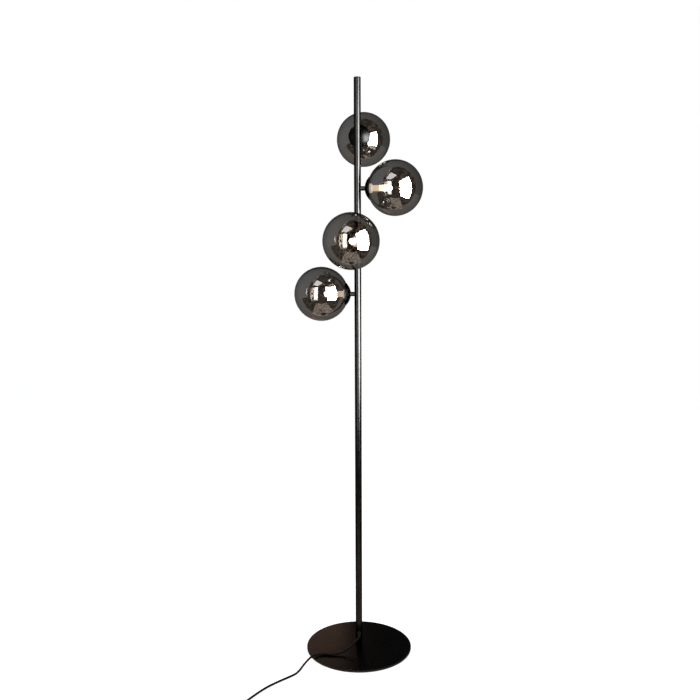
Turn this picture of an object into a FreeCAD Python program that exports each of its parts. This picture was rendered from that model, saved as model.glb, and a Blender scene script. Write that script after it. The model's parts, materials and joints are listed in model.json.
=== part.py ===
import FreeCAD, Part

# Globe floor lamp: four smoked glass globes on short arms round a thin pole, on a flat disc base.
#
# Millimetres, +Z up. The origin is the centre of the lamp's underside, on the floor. The arms stand
# at quarter turns: light 1, the highest, points along +Y, light 2 along +X, light 3 along -Y and
# light 4 along -X, each one step lower than the one before. The mains cord leaves the pole just
# above the base, near the -Y side.
#
# A light's pieces are drawn about their own +Z, which is the arm's axis. Their heights there, such
# as "cup_back", are distances from the pole's axis.

import math
import os

import Sketcher
from FreeCAD import Placement, Rotation, Vector

SIZES = {
    # whole lamp
    "lamp_height": 1600,
    # base
    "pad_diameter": 288,
    "pad_hole": 30,
    "pad_thickness": 1.5,
    "base_diameter": 300,
    "base_thickness": 6,
    "base_edge_round": 1.2,
    "base_edge_chamfer": 0.4,
    "screw_head_diameter": 16,
    "screw_head_height": 4.4,
    "screw_diameter": 8,
    "screw_length": 22,
    "screw_recess": 0.2,
    "screw_clearance": 0.2,
    "screw_key_across": 5.77,
    "screw_key_depth": 3,
    "foot_insert_length": 22,
    # pole
    "pole_diameter": 19,
    "pole_wall": 1.2,
    "lower_joint_height": 490,
    "upper_joint_height": 905,
    "joint_thread_diameter": 12,
    "joint_bore": 8,
    "joint_length": 18,
    "cap_height": 3,
    "cap_round": 1,
    "cap_spigot_length": 12,
    # lights
    "top_light_height": 1450.2,
    "light_step": 142.9,
    "arm_start": 8,
    "arm_diameter": 12,
    "nipple_diameter": 10,
    "nipple_bore": 6.8,
    "nipple_start": 10.5,
    "nipple_end": 28,
    "nut_across_flats": 14,
    "nut_height": 3.5,
    # cup
    "cup_back": 20.6,
    "cup_flat_radius": 7,
    "cup_radius": 42,
    "cup_wall": 1.2,
    "cup_floor": 22.4,
    "cup_rim_at": 32.95,
    "spigot_outer": 33.2,
    "spigot_inner": 28.4,
    "spigot_front": 33.5,
    # lampholder
    "holder_back": 25.9,
    "holder_flange_diameter": 28,
    "holder_flange_height": 3,
    "holder_diameter": 24.8,
    "holder_front": 40,
    "holder_edge": 0.8,
    "pin_spacing": 9,
    "pin_diameter": 1.6,
    "pin_hole_diameter": 2.6,
    "pin_length": 10.5,
    "pin_clearance": 0.5,
    # glass
    "globe_distance": 102.6,
    "globe_diameter": 150,
    "globe_wall": 2,
    "neck_back": 28.6,
    "neck_inner": 34,
    "neck_outer": 38.8,
    "gasket_inner": 34,
    "gasket_outer": 39.6,
    "gasket_back": 27,
    "gasket_thickness": 1.3,
    # bulb
    "bulb_base_diameter": 16.4,
    "bulb_base_length": 20,
    "bulb_base_wall": 1.4,
    "bulb_floor": 2,
    "bulb_edge": 1,
    "bulb_cover_diameter": 16,
    "bulb_cover_wall": 1,
    "bulb_cover_length": 35,
    "bulb_spigot": 3,
    "bulb_board_thickness": 1.6,
    "bulb_stick_diameter": 5,
    "bulb_stick_length": 42,
    # mains lead
    "cord_diameter": 5.8,
    "exit_height": 47,
    "exit_hole_diameter": 8.8,
    "relief_start": 7.6,
    "relief_collar_at": 10.6,
    "relief_collar_diameter": 10.8,
    "relief_collar_width": 1.4,
    "relief_tip_diameter": 7,
    "relief_tip": 28,
    "splice_diameter": 14,
    "splice_length": 30,
    "splice_round": 1,
    "splice_height": 940,
    "lamp_wire_diameter": 3,
    "lamp_wire_offset": 4.2,
    # foot switch
    "switch_length": 78,
    "switch_width": 32,
    "switch_corner": 9,
    "switch_wall": 2,
    "switch_base_height": 11,
    "switch_height": 23,
    "switch_top_round": 3,
    "switch_cord_height": 6.2,
    "button_diameter": 22,
    "button_clearance": 0.35,
    "button_flange_diameter": 25.4,
    "button_flange_at": 18.7,
    "button_flange_height": 2,
    "button_top": 26,
    "button_round": 1.4,
    "button_socket_diameter": 12,
    "button_socket_top": 22,
    "spring_diameter": 8.6,
    "spring_wire": 0.8,
    "spring_turns": 4.5,
    "contact_length": 36,
    "contact_width": 18,
    "contact_corner": 2,
    "contact_top": 9,
    "switch_screw_spacing": 60,
    "switch_screw_diameter": 3,
    "switch_screw_head": 5.6,
    "switch_screw_head_height": 1.8,
    "switch_screw_recess": 1,
    "switch_screw_length": 15,
    "switch_boss_diameter": 6.4,
    # plug
    "plug_length": 36,
    "plug_taper_length": 22.3,
    "plug_front_width": 35.4,
    "plug_rear_width": 15,
    "plug_thickness": 13.7,
    "plug_round": 2.5,
    "plug_relief_length": 20,
    "plug_relief_inset": 4,
    "plug_relief_diameter": 10,
    "plug_relief_tip": 7,
    "plug_pin_diameter": 4,
    "plug_pin_length": 19,
    "plug_pin_spacing": 18.6,
}

LIGHTS = (1, 2, 3, 4)
ARM_DIRECTIONS = {1: Vector(0, 1, 0), 2: Vector(1, 0, 0), 3: Vector(0, -1, 0), 4: Vector(-1, 0, 0)}
EXIT_ANGLE = 12  # degrees from -Y towards +X at which the cord leaves the pole

# The cord's free stretches: from the strain relief's tip over the base to the foot switch, from the
# switch to the coil, and from the coil to the plug.
SWITCH_CENTRE = Vector(-139, -418.8, 0)
CORD_RUN = [
    (7.28, -34.24, 47),
    (4.4, -40.6, 44.6),
    (-2, -45.6, 38.8),
    (-10, -51, 31),
    (-18.5, -57.2, 23.5),
    (-29.5, -64.5, 16.5),
    (-44.5, -72.5, 11.8),
    (-63, -79.5, 10.6),
    (-81, -78.5, 10.6),
    (-97, -81.5, 10.7),
    (-109, -91, 12.6),
    (-118, -108, 13.4),
    (-125, -126, 10.8),
    (-132, -146, 6),
    (-136, -166, 3.3),
    (-142, -186, 3),
    (-156, -205, 3),
    (-173, -226, 3),
    (-190, -249, 3),
    (-204, -271, 3),
    (-217, -299, 3),
    (-230, -330, 3),
    (-241, -360, 3),
    (-242, -388, 3),
    (-228, -411, 4),
    (-202, -418.8, 6.2),
]
CORD_LEAD = [(-88, -418.8, 6.2), (-62, -419.2, 3.1)]
CORD_TAIL = [(-27, -419.15, 9.6), (6, -420.5, 6.85)]

# The rest of the cord, put away as a round coil beside the foot switch.
COIL_CENTRE = Vector(-44, -376, 0)
COIL_FLOOR = 3.1  # height of the lower layer's centre line
COIL_TURNS = 6  # in two layers, half of them each
COIL_MIDDLE_RADIUS = 33
COIL_PITCH = 6.5  # from turn to turn, and from layer to layer
COIL_CLIMB = 0.5  # turns in which the cord climbs from layer to layer
COIL_START_ANGLE = -90
PLUG_ENTRY = Vector(18, -420.5, 6.85)

ROUTE_SHARE = 0.45  # of the shorter run, taken by the arc at a corner
LEAST_COIL_GAP = 0.4


class Size:
    """A size that carries its value and the formula that ties it to the sheet."""

    def __init__(self, value, formula):
        self.value = float(value)
        self.formula = formula

    def __add__(self, other):
        other = as_size(other)
        return Size(self.value + other.value, f"({self.formula} + {other.formula})")

    def __sub__(self, other):
        other = as_size(other)
        return Size(self.value - other.value, f"({self.formula} - {other.formula})")

    def __mul__(self, other):
        other = as_size(other)
        return Size(self.value * other.value, f"({self.formula} * {other.formula})")

    def __truediv__(self, other):
        other = as_size(other)
        return Size(self.value / other.value, f"({self.formula} / {other.formula})")

    def __neg__(self):
        return Size(-self.value, f"(-1 * {self.formula})")

    def __rsub__(self, other):
        return as_size(other) - self

    __radd__ = __add__
    __rmul__ = __mul__

    def root(self):
        return Size(math.sqrt(self.value), f"sqrt({self.formula})")


def as_size(thing):
    return thing if isinstance(thing, Size) else Size(thing, repr(float(thing)))


def number(thing):
    return thing.value if isinstance(thing, Size) else float(thing)


class Sizes:
    """The sheet's cells by name."""

    def __init__(self, sheet):
        for row, (name, size) in enumerate(SIZES.items(), start=1):
            sheet.set(f"A{row}", name)
            sheet.set(f"B{row}", str(size))
            sheet.setAlias(f"B{row}", name)
            setattr(self, name, Size(size, f"{sheet.Name}.{name}"))


# --- drawing helpers ----------------------------------------------------------------------------


def bind(thing, path, size):
    """Set a property, and tie it to the sheet where its size comes from there."""
    if isinstance(size, Size):
        thing.setExpression(path, size.formula)
    else:
        setattr(thing, path, size)


def place(piece, at=(0, 0, 0), rotation=Rotation()):
    piece.Placement = Placement(Vector(*(number(c) for c in at)), rotation)
    for axis, coordinate in zip("xyz", at):
        if isinstance(coordinate, Size):
            piece.setExpression(f"Placement.Base.{axis}", coordinate.formula)


def new_body(doc, label):
    body = doc.addObject("PartDesign::Body", label)
    body.Label = label
    return body


def new_sketch(body, plane="XY_Plane", lift=0):
    sketch = body.newObject("Sketcher::SketchObject", "Sketch")
    support = next(part for part in body.Origin.OriginFeatures if part.Role == plane)
    sketch.AttachmentSupport = [(support, "")]
    sketch.MapMode = "FlatFace"
    if isinstance(lift, Size) or lift:
        sketch.AttachmentOffset = Placement(Vector(0, 0, number(lift)), Rotation())
        sketch.setExpression("AttachmentOffset.Base.z", as_size(lift).formula)
    return sketch


def constrain(sketch, kind, *terms):
    """Add a constraint whose last term is its size, tied to the sheet."""
    size = terms[-1]
    index = sketch.addConstraint(Sketcher.Constraint(kind, *terms[:-1], number(size)))
    if isinstance(size, Size):
        sketch.setExpression(f"Constraints[{index}]", size.formula)


def fix_point(sketch, geometry, end, x, y):
    """Hold a point at its distances from the sketch's origin."""
    for kind, axis, distance in (("DistanceX", -2, x), ("DistanceY", -1, y)):
        if number(distance) == 0:
            sketch.addConstraint(Sketcher.Constraint("PointOnObject", geometry, end, axis))
        elif number(distance) > 0:
            constrain(sketch, kind, -1, 1, geometry, end, distance)
        else:
            constrain(sketch, kind, geometry, end, -1, 1, -as_size(distance))


def circle(sketch, diameter, x=0, y=0):
    centre = Vector(number(x), number(y), 0)
    geometry = sketch.addGeometry(Part.Circle(centre, Vector(0, 0, 1), number(diameter) / 2))
    fix_point(sketch, geometry, 3, x, y)
    constrain(sketch, "Diameter", geometry, diameter)


def arc_between(start, end, radius, left):
    """The arc under a half circle from start to end, turning left or right, as drawn."""
    chord = end - start
    side = Vector(-chord.y, chord.x, 0).normalize() * (1 if left else -1)
    centre = (start + end) / 2 + side * math.sqrt(max(radius**2 - chord.Length**2 / 4, 0))
    first, last = (start, end) if left else (end, start)
    angles = [math.atan2(p.y - centre.y, p.x - centre.x) for p in (first, last)]
    return Part.ArcOfCircle(Part.Circle(centre, Vector(0, 0, 1), radius), *angles)


def outline(sketch, corners):
    """A closed outline. A corner is (x, y), or (x, y, radius, turn) where an arc leads on from it,
    with turn "left" or "right"."""
    points = [Vector(number(c[0]), number(c[1]), 0) for c in corners]
    ends = []
    for index, corner in enumerate(corners):
        start, end = points[index], points[(index + 1) % len(points)]
        if len(corner) == 2:
            geometry = sketch.addGeometry(Part.LineSegment(start, end))
            ends.append((geometry, 1, 2))
        else:
            left = corner[3] == "left"
            arc = arc_between(start, end, number(corner[2]), left)
            geometry = sketch.addGeometry(arc)
            ends.append((geometry, 1, 2) if left else (geometry, 2, 1))
    for index, (geometry, first, _) in enumerate(ends):
        before, _, last = ends[index - 1]
        sketch.addConstraint(Sketcher.Constraint("Coincident", before, last, geometry, first))
    for (geometry, first, _), corner in zip(ends, corners):
        fix_point(sketch, geometry, first, corner[0], corner[1])
        if len(corner) > 2:
            constrain(sketch, "Radius", geometry, corner[2])


def pad(body, sketch, length):
    feature = body.newObject("PartDesign::Pad", "Pad")
    feature.Profile = sketch
    bind(feature, "Length", length)
    return feature


def pocket(body, sketch, length, away=False):
    """Cut along the sketch's back, or along its front where away is true."""
    feature = body.newObject("PartDesign::Pocket", "Pocket")
    feature.Profile = sketch
    bind(feature, "Length", length)
    feature.Reversed = away
    return feature


def turned(body, corners):
    """A solid of revolution about the body's Z, from an outline of (radius, height) corners."""
    sketch = new_sketch(body, "XZ_Plane")
    outline(sketch, corners)
    feature = body.newObject("PartDesign::Revolution", "Revolution")
    feature.Profile = sketch
    feature.ReferenceAxis = (sketch, ["V_Axis"])
    feature.Angle = 360
    return feature


def rim_edges(feature, *rims):
    """Names of the circular edges with the given (radius, height) pairs."""
    names = []
    for index, edge in enumerate(feature.Shape.Edges, start=1):
        curve = edge.Curve
        if not isinstance(curve, Part.Circle):
            continue
        for radius, height in rims:
            same_radius = abs(curve.Radius - number(radius)) < 1e-4
            if same_radius and abs(curve.Center.z - number(height)) < 1e-4:
                names.append(f"Edge{index}")
    return names


def top_edges(feature, height):
    """Names of the edges that lie flat at one height."""
    names = []
    for index, edge in enumerate(feature.Shape.Edges, start=1):
        box = edge.BoundBox
        if abs(box.ZMin - height) < 1e-4 and abs(box.ZMax - height) < 1e-4:
            names.append(f"Edge{index}")
    return names


def soften(body, feature, names, size, kind="Fillet"):
    edge_feature = body.newObject(f"PartDesign::{kind}", kind)
    edge_feature.Base = (feature, names)
    bind(edge_feature, "Radius" if kind == "Fillet" else "Size", size)
    return edge_feature


def cylinder(doc, name, diameter, height):
    piece = doc.addObject("Part::Cylinder", name)
    bind(piece, "Radius", as_size(diameter) / 2)
    bind(piece, "Height", as_size(height))
    return piece


def sleeve(doc, name, outer, inner, height):
    """A plain tube, as one cylinder cut from another."""
    tube = doc.addObject("Part::Cut", name)
    tube.Base = cylinder(doc, name + "_outside", outer, height)
    tube.Tool = cylinder(doc, name + "_bore", inner, height)
    return tube


def group(doc, label, pieces):
    """Identical pieces of one kind, as separate solids in one node."""
    compound = doc.addObject("Part::Compound", label)
    compound.Label = label
    compound.Links = pieces
    return compound


def arm_rotation(light):
    """Turns a piece's Z onto the light's arm and keeps its X level."""
    direction = ARM_DIRECTIONS[light]
    level = direction.cross(Vector(0, 0, 1))
    return Rotation(level, Vector(), direction, "ZXY")


def light_height(size, light):
    return size.top_light_height - size.light_step * (light - 1)


def on_arm(piece, size, light, distance=0):
    """Place a piece with its own Z along the arm, at a distance from the pole's axis."""
    direction = ARM_DIRECTIONS[light]
    at = [0, 0, light_height(size, light)]
    for index in (0, 1):
        if direction[index]:
            at[index] = as_size(distance) * direction[index]
    place(piece, at, arm_rotation(light))


# --- tubes --------------------------------------------------------------------------------------


def rounded_route(points):
    """Straight runs joined by tangent arcs, and the arcs' radii."""
    edges, radii = [], []
    start = points[0]
    for before, corner, after in zip(points, points[1:], points[2:]):
        back, ahead = before - corner, after - corner
        turn = math.pi - back.getAngle(ahead)
        reach = ROUTE_SHARE * min(back.Length, ahead.Length)
        radius = reach / math.tan(turn / 2)
        back.normalize()
        ahead.normalize()
        inward = (back + ahead).normalize()
        centre = corner + inward * (radius / math.cos(turn / 2))
        enter, leave = corner + back * reach, corner + ahead * reach
        edges.append(Part.LineSegment(start, enter).toShape())
        edges.append(Part.Arc(enter, centre - inward * radius, leave).toShape())
        radii.append(radius)
        start = leave
    edges.append(Part.LineSegment(start, points[-1]).toShape())
    return Part.Wire(edges), radii


def pipe(wire, diameter):
    """A round tube along a wire."""
    start = wire.Edges[0]
    along = start.tangentAt(start.FirstParameter)
    ring = Part.Wire([Part.makeCircle(diameter / 2, start.valueAt(start.FirstParameter), along)])
    builder = Part.BRepOffsetAPI.MakePipeShell(wire)
    builder.add(ring)
    builder.build()
    builder.makeSolid()
    return builder.shape()


def tube_feature(doc, label, wire, diameter):
    """A tube as a feature of its own, with its volume set against section times length."""
    piece = doc.addObject("Part::Feature", label)
    piece.Label = label
    piece.Shape = pipe(wire, diameter)
    expected = math.pi * diameter**2 / 4 * wire.Length
    share = piece.Shape.Volume / expected
    print(f"{label}: length {wire.Length:.1f} mm, volume {share:.4f} of section times length")
    return piece


def routed_tube(doc, label, points, diameter):
    points = [Vector(*p) for p in points]
    wire, radii = rounded_route(points)
    print(f"{label}: radii " + ", ".join(f"{radius:.0f}" for radius in radii))
    return tube_feature(doc, label, wire, diameter)


def bent_edge(start, along, end):
    """The arc that leaves start along a direction and passes through end."""
    chord = end - start
    angle = along.getAngle(chord)
    if angle < 1e-6:
        return Part.LineSegment(start, end).toShape()
    apex = start + along * (chord.Length / 2 / math.cos(angle))
    middle = (start + end) / 2
    middle = middle + (apex - middle) * (math.tan(angle / 2) / math.tan(angle))
    return Part.Arc(start, middle, end).toShape()


def biarc(start, along_start, end, along_end):
    """Two arcs that join two points with given directions."""
    gap = end - start
    both = along_start + along_end
    spread = 2 * (1 - along_start.dot(along_end))
    reach = (math.sqrt(gap.dot(both) ** 2 + spread * gap.dot(gap)) - gap.dot(both)) / spread
    joint = (start + end + (along_start - along_end) * reach) / 2
    first = bent_edge(start, along_start, joint)
    last = bent_edge(end, -along_end, joint)
    middle = last.valueAt((last.FirstParameter + last.LastParameter) / 2)
    return [first, Part.Arc(joint, middle, end).toShape()]


def wound_wire(line, stations, lead):
    """A wire through the stations of a curve, with a straight lead at each end."""
    spots = [line(station) for station in stations]
    edges = [Part.LineSegment(spots[0][0] - spots[0][1] * lead, spots[0][0]).toShape()]
    for (start, along_start), (end, along_end) in zip(spots, spots[1:]):
        edges += biarc(start, along_start, end, along_end)
    edges.append(Part.LineSegment(spots[-1][0], spots[-1][0] + spots[-1][1] * lead).toShape())
    return Part.Wire(edges)


def least_gap(wire, diameter, turn_length):
    """The least gap between a wound tube's turns, measured on points of its centre line."""
    points = wire.discretize(Distance=2.0)
    step = wire.Length / (len(points) - 1)
    apart = int(turn_length / 2 / step)
    least = min(
        points[i].distanceToPoint(points[j])
        for i in range(len(points))
        for j in range(i + apart, len(points))
    )
    return least - diameter


# --- base and pole ------------------------------------------------------------------------------


def make_base_pad(doc, size):
    body = new_body(doc, "base_pad")
    sketch = new_sketch(body)
    circle(sketch, size.pad_diameter)
    circle(sketch, size.pad_hole)
    pad(body, sketch, size.pad_thickness)
    return body


def make_base_plate(doc, size):
    body = new_body(doc, "base_plate")
    sketch = new_sketch(body)
    circle(sketch, size.base_diameter)
    disc = pad(body, sketch, size.base_thickness)
    doc.recompute()
    top = rim_edges(disc, (size.base_diameter / 2, size.base_thickness))
    rounded = soften(body, disc, top, size.base_edge_round)
    doc.recompute()
    bottom = rim_edges(rounded, (size.base_diameter / 2, 0))
    soften(body, rounded, bottom, size.base_edge_chamfer, "Chamfer")

    # The countersink has the screw head's slope, so the head seats on it.
    slope = (size.screw_head_diameter - size.screw_diameter) / 2 / size.screw_head_height
    mouth = size.screw_head_diameter / 2 + slope * size.screw_recess
    shank = size.screw_diameter / 2 + size.screw_clearance
    throat = (mouth - shank) / slope
    sketch = new_sketch(body, "XZ_Plane")
    corners = [(0, 0), (mouth, 0), (shank, throat), (shank, size.base_thickness)]
    outline(sketch, corners + [(0, size.base_thickness)])
    hole = body.newObject("PartDesign::Groove", "Countersink")
    hole.Profile = sketch
    hole.ReferenceAxis = (sketch, ["V_Axis"])
    hole.Angle = 360
    place(body, (0, 0, size.pad_thickness))
    return body


def make_base_screw(doc, size):
    body = new_body(doc, "base_screw")
    head, shank = size.screw_head_diameter / 2, size.screw_diameter / 2
    turned(
        body,
        [
            (0, 0),
            (head, 0),
            (shank, size.screw_head_height),
            (shank, size.screw_length),
            (0, size.screw_length),
        ],
    )
    sketch = new_sketch(body)
    sides = [math.radians(60 * side) for side in range(6)]
    reach = size.screw_key_across / 2
    outline(sketch, [(reach * math.cos(a), reach * math.sin(a)) for a in sides])
    pocket(body, sketch, size.screw_key_depth, away=True)
    place(body, (0, 0, size.pad_thickness + size.screw_recess))
    return body


def pole_inner(size):
    return size.pole_diameter - size.pole_wall * 2


def base_top(size):
    return size.pad_thickness + size.base_thickness


def make_pole_foot(doc, size):
    body = new_body(doc, "pole_foot")
    sketch = new_sketch(body)
    circle(sketch, pole_inner(size))
    circle(sketch, size.screw_diameter)
    pad(body, sketch, size.foot_insert_length)
    place(body, (0, 0, base_top(size)))
    return body


def make_pole_tube(doc, size, label, bottom, top):
    body = new_body(doc, label)
    sketch = new_sketch(body)
    circle(sketch, size.pole_diameter)
    circle(sketch, pole_inner(size))
    pad(body, sketch, top - bottom)
    place(body, (0, 0, bottom))
    return body


def side_hole(body, plane, height, diameter, depth, away):
    sketch = new_sketch(body, plane)
    circle(sketch, diameter, 0, height)
    pocket(body, sketch, depth, away)


def make_poles(doc, size):
    bottom, top = base_top(size), size.lamp_height - size.cap_height
    joints = size.lower_joint_height, size.upper_joint_height
    lower = make_pole_tube(doc, size, "pole_lower", bottom, joints[0])
    side_hole(
        lower, "XZ_Plane", size.exit_height - bottom, size.exit_hole_diameter, size.pole_diameter, True
    )
    place(lower, (0, 0, bottom), Rotation(Vector(0, 0, 1), EXIT_ANGLE))
    middle = make_pole_tube(doc, size, "pole_middle", *joints)
    upper = make_pole_tube(doc, size, "pole_upper", joints[1], top)
    sides = {1: ("XZ_Plane", False), 2: ("YZ_Plane", True), 3: ("XZ_Plane", True), 4: ("YZ_Plane", False)}
    for light, (plane, away) in sides.items():
        height = light_height(size, light) - joints[1]
        side_hole(upper, plane, height, size.arm_diameter, size.pole_diameter, away)
    return [lower, middle, upper]


def pole_joints(size):
    return {"low": size.lower_joint_height, "high": size.upper_joint_height}


def make_pole_sockets(doc, size):
    """Threaded bushes pressed into the upper ends of the lower and middle tubes."""
    bushes = []
    outer, inner = pole_inner(size), size.joint_thread_diameter
    for place_name, joint in pole_joints(size).items():
        bush = sleeve(doc, f"socket_{place_name}", outer, inner, size.joint_length)
        place(bush, (0, 0, joint - size.joint_length))
        bushes.append(bush)
    return group(doc, "pole_sockets", bushes)


def make_pole_nipples(doc, size):
    """Hollow screws, fixed in the lower ends of the middle and upper tubes."""
    nipples = []
    bore, length = size.joint_bore, size.joint_length
    for place_name, joint in pole_joints(size).items():
        screw = sleeve(doc, f"thread_{place_name}", size.joint_thread_diameter, bore, length)
        place(screw, (0, 0, joint - length))
        root = sleeve(doc, f"root_{place_name}", pole_inner(size), bore, length)
        place(root, (0, 0, joint))
        nipple = doc.addObject("Part::Fuse", f"nipple_{place_name}")
        nipple.Base = screw
        nipple.Tool = root
        nipples.append(nipple)
    return group(doc, "pole_nipples", nipples)


def make_pole_cap(doc, size):
    body = new_body(doc, "pole_cap")
    outer, spigot = size.pole_diameter / 2, pole_inner(size) / 2
    ledge = size.cap_spigot_length
    top = ledge + size.cap_height
    turned(
        body,
        [
            (0, 0),
            (spigot, 0),
            (spigot, ledge),
            (outer, ledge),
            (outer, top - size.cap_round, size.cap_round, "left"),
            (outer - size.cap_round, top),
            (0, top),
        ],
    )
    place(body, (0, 0, size.lamp_height - top))
    return body


# --- lights -------------------------------------------------------------------------------------


def make_arm_tube(doc, size, light):
    body = new_body(doc, f"arm_tube_{light}")
    sketch = new_sketch(body)
    circle(sketch, size.arm_diameter)
    circle(sketch, size.nipple_diameter)
    pad(body, sketch, size.cup_back - size.arm_start)
    on_arm(body, size, light, size.arm_start)
    return body


def make_arm_nipples(doc, size):
    nipples = []
    for light in LIGHTS:
        length = size.nipple_end - size.nipple_start
        nipple = sleeve(doc, f"nipple_{light}", size.nipple_diameter, size.nipple_bore, length)
        on_arm(nipple, size, light, size.nipple_start)
        nipples.append(nipple)
    return group(doc, "arm_nipples", nipples)


def make_arm_nuts(doc, size):
    nuts = []
    for light in LIGHTS:
        hexagon = doc.addObject("Part::Prism", f"nut_hexagon_{light}")
        hexagon.Polygon = 6
        bind(hexagon, "Circumradius", size.nut_across_flats / math.sqrt(3))
        bind(hexagon, "Height", size.nut_height)
        nut = doc.addObject("Part::Cut", f"nut_{light}")
        nut.Base = hexagon
        nut.Tool = cylinder(doc, f"nut_bore_{light}", size.nipple_diameter, size.nut_height)
        on_arm(nut, size, light, size.cup_floor)
        nuts.append(nut)
    return group(doc, "arm_nuts", nuts)


def square(thing):
    return thing * thing


def make_cup(doc, size, light):
    """A domed holder with a flat back, and the threaded spigot that the glass screws onto."""
    body = new_body(doc, f"cup_{light}")
    outer, inner = size.cup_radius, size.cup_radius - size.cup_wall
    centre = size.cup_back + (square(outer) - square(size.cup_flat_radius)).root()

    def dome_height(radius, across):
        return centre - (square(radius) - square(across)).root()

    def dome_across(radius, height):
        return (square(radius) - square(centre - height)).root()

    hole = size.nipple_diameter / 2
    spigot_out, spigot_in = size.spigot_outer / 2, size.spigot_inner / 2
    turned(
        body,
        [
            (hole, size.cup_back),
            (size.cup_flat_radius, size.cup_back, outer, "left"),
            (dome_across(outer, size.cup_rim_at), size.cup_rim_at),
            (dome_across(inner, size.cup_rim_at), size.cup_rim_at, inner, "right"),
            (spigot_out, dome_height(inner, spigot_out)),
            (spigot_out, size.spigot_front),
            (spigot_in, size.spigot_front),
            (spigot_in, dome_height(inner, spigot_in), inner, "right"),
            (dome_across(inner, size.cup_floor), size.cup_floor),
            (hole, size.cup_floor),
        ],
    )
    on_arm(body, size, light)
    return body


def make_lampholder(doc, size, light):
    body = new_body(doc, f"lampholder_{light}")
    flange = size.holder_flange_diameter / 2
    barrel = size.holder_diameter / 2
    bore = size.nipple_diameter / 2
    shoulder = size.holder_back + size.holder_flange_height
    turned(
        body,
        [
            (0, size.nipple_end),
            (bore, size.nipple_end),
            (bore, size.holder_back),
            (flange, size.holder_back),
            (flange, shoulder),
            (barrel, shoulder),
            (barrel, size.holder_front - size.holder_edge),
            (barrel - size.holder_edge, size.holder_front),
            (0, size.holder_front),
        ],
    )
    sketch = new_sketch(body, "XY_Plane", size.holder_front)
    for side in (-1, 1):
        circle(sketch, size.pin_hole_diameter, size.pin_spacing / 2 * side)
    pocket(body, sketch, size.pin_length + size.pin_clearance)
    on_arm(body, size, light)
    return body


def make_gasket(doc, size, light):
    body = new_body(doc, f"glass_gasket_{light}")
    sketch = new_sketch(body)
    circle(sketch, size.gasket_outer)
    circle(sketch, size.gasket_inner)
    pad(body, sketch, size.gasket_thickness)
    on_arm(body, size, light, size.gasket_back)
    return body


def make_globe(doc, size, light):
    body = new_body(doc, f"globe_{light}")
    outer, centre = size.globe_diameter / 2, size.globe_distance
    inner = outer - size.globe_wall
    neck_out, neck_in = size.neck_outer / 2, size.neck_inner / 2
    turned(
        body,
        [
            (neck_in, size.neck_back),
            (neck_out, size.neck_back),
            (neck_out, centre - (square(outer) - square(neck_out)).root(), outer, "left"),
            (outer, centre, outer, "left"),
            (0, centre + outer),
            (0, centre + inner, inner, "right"),
            (inner, centre, inner, "right"),
            (neck_in, centre - (square(inner) - square(neck_in)).root()),
        ],
    )
    on_arm(body, size, light)
    return body


def make_bulb_base(doc, size, light):
    """The bulb's hollow foot, with two holes for the contact pins."""
    body = new_body(doc, f"bulb_base_{light}")
    outer = size.bulb_base_diameter / 2
    inner = outer - size.bulb_base_wall
    back, front = size.holder_front, size.holder_front + size.bulb_base_length
    floor, edge = back + size.bulb_floor, size.bulb_edge
    corners = [(0, back), (outer - edge, back), (outer, back + edge), (outer, front)]
    turned(body, corners + [(inner, front), (inner, floor), (0, floor)])
    sketch = new_sketch(body, "XY_Plane", floor)
    for side in (-1, 1):
        circle(sketch, size.pin_diameter, size.pin_spacing / 2 * side)
    pocket(body, sketch, size.bulb_floor)
    on_arm(body, size, light)
    return body


def make_bulb_cover(doc, size, light):
    """The clear cover: a tube with a round end, and a collar that sits in the foot."""
    body = new_body(doc, f"bulb_cover_{light}")
    outer = size.bulb_cover_diameter / 2
    inner = outer - size.bulb_cover_wall
    collar = size.bulb_base_diameter / 2 - size.bulb_base_wall
    back = size.holder_front + size.bulb_base_length
    tip = back + size.bulb_cover_length
    turned(
        body,
        [
            (collar - size.bulb_cover_wall, back - size.bulb_spigot),
            (collar, back - size.bulb_spigot),
            (collar, back),
            (outer, back),
            (outer, tip - outer, outer, "left"),
            (0, tip),
            (0, tip - size.bulb_cover_wall, inner, "right"),
            (inner, tip - outer),
            (inner, back + size.bulb_cover_wall),
            (collar - size.bulb_cover_wall, back + size.bulb_cover_wall),
        ],
    )
    on_arm(body, size, light)
    return body


def make_bulb_core(doc, size, light):
    """The bulb's board with its two contact pins, and the stick that carries the light chips."""
    body = new_body(doc, f"bulb_core_{light}")
    board = size.bulb_base_diameter / 2 - size.bulb_base_wall
    stick = size.bulb_stick_diameter / 2
    floor = size.holder_front + size.bulb_floor
    top = floor + size.bulb_board_thickness
    end, edge = top + size.bulb_stick_length, size.bulb_edge
    corners = [(0, floor), (board, floor), (board, top), (stick, top)]
    turned(body, corners + [(stick, end - edge), (stick - edge, end), (0, end)])
    sketch = new_sketch(body, "XY_Plane", size.holder_front - size.pin_length)
    for side in (-1, 1):
        circle(sketch, size.pin_diameter, size.pin_spacing / 2 * side)
    pad(body, sketch, size.pin_length + size.bulb_floor)
    on_arm(body, size, light)
    return body


# --- mains lead ---------------------------------------------------------------------------------


def exit_direction():
    angle = math.radians(EXIT_ANGLE)
    return Vector(math.sin(angle), -math.cos(angle), 0)


def make_strain_relief(doc, size):
    """A tapered rubber sleeve moulded onto the cord, held in the pole's side hole by its collar."""
    body = new_body(doc, "strain_relief")
    plug = size.exit_hole_diameter / 2
    collar = size.relief_collar_diameter / 2
    tip = size.relief_tip_diameter / 2
    collar_end = size.relief_collar_at + size.relief_collar_width
    turned(
        body,
        [
            (0, size.relief_start),
            (plug, size.relief_start),
            (plug, size.relief_collar_at),
            (collar, size.relief_collar_at),
            (collar, collar_end),
            (plug, collar_end),
            (tip, size.relief_tip),
            (0, size.relief_tip),
        ],
    )
    place(body, (0, 0, size.exit_height), Rotation(Vector(0, 0, 1), exit_direction()))
    return body


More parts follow.
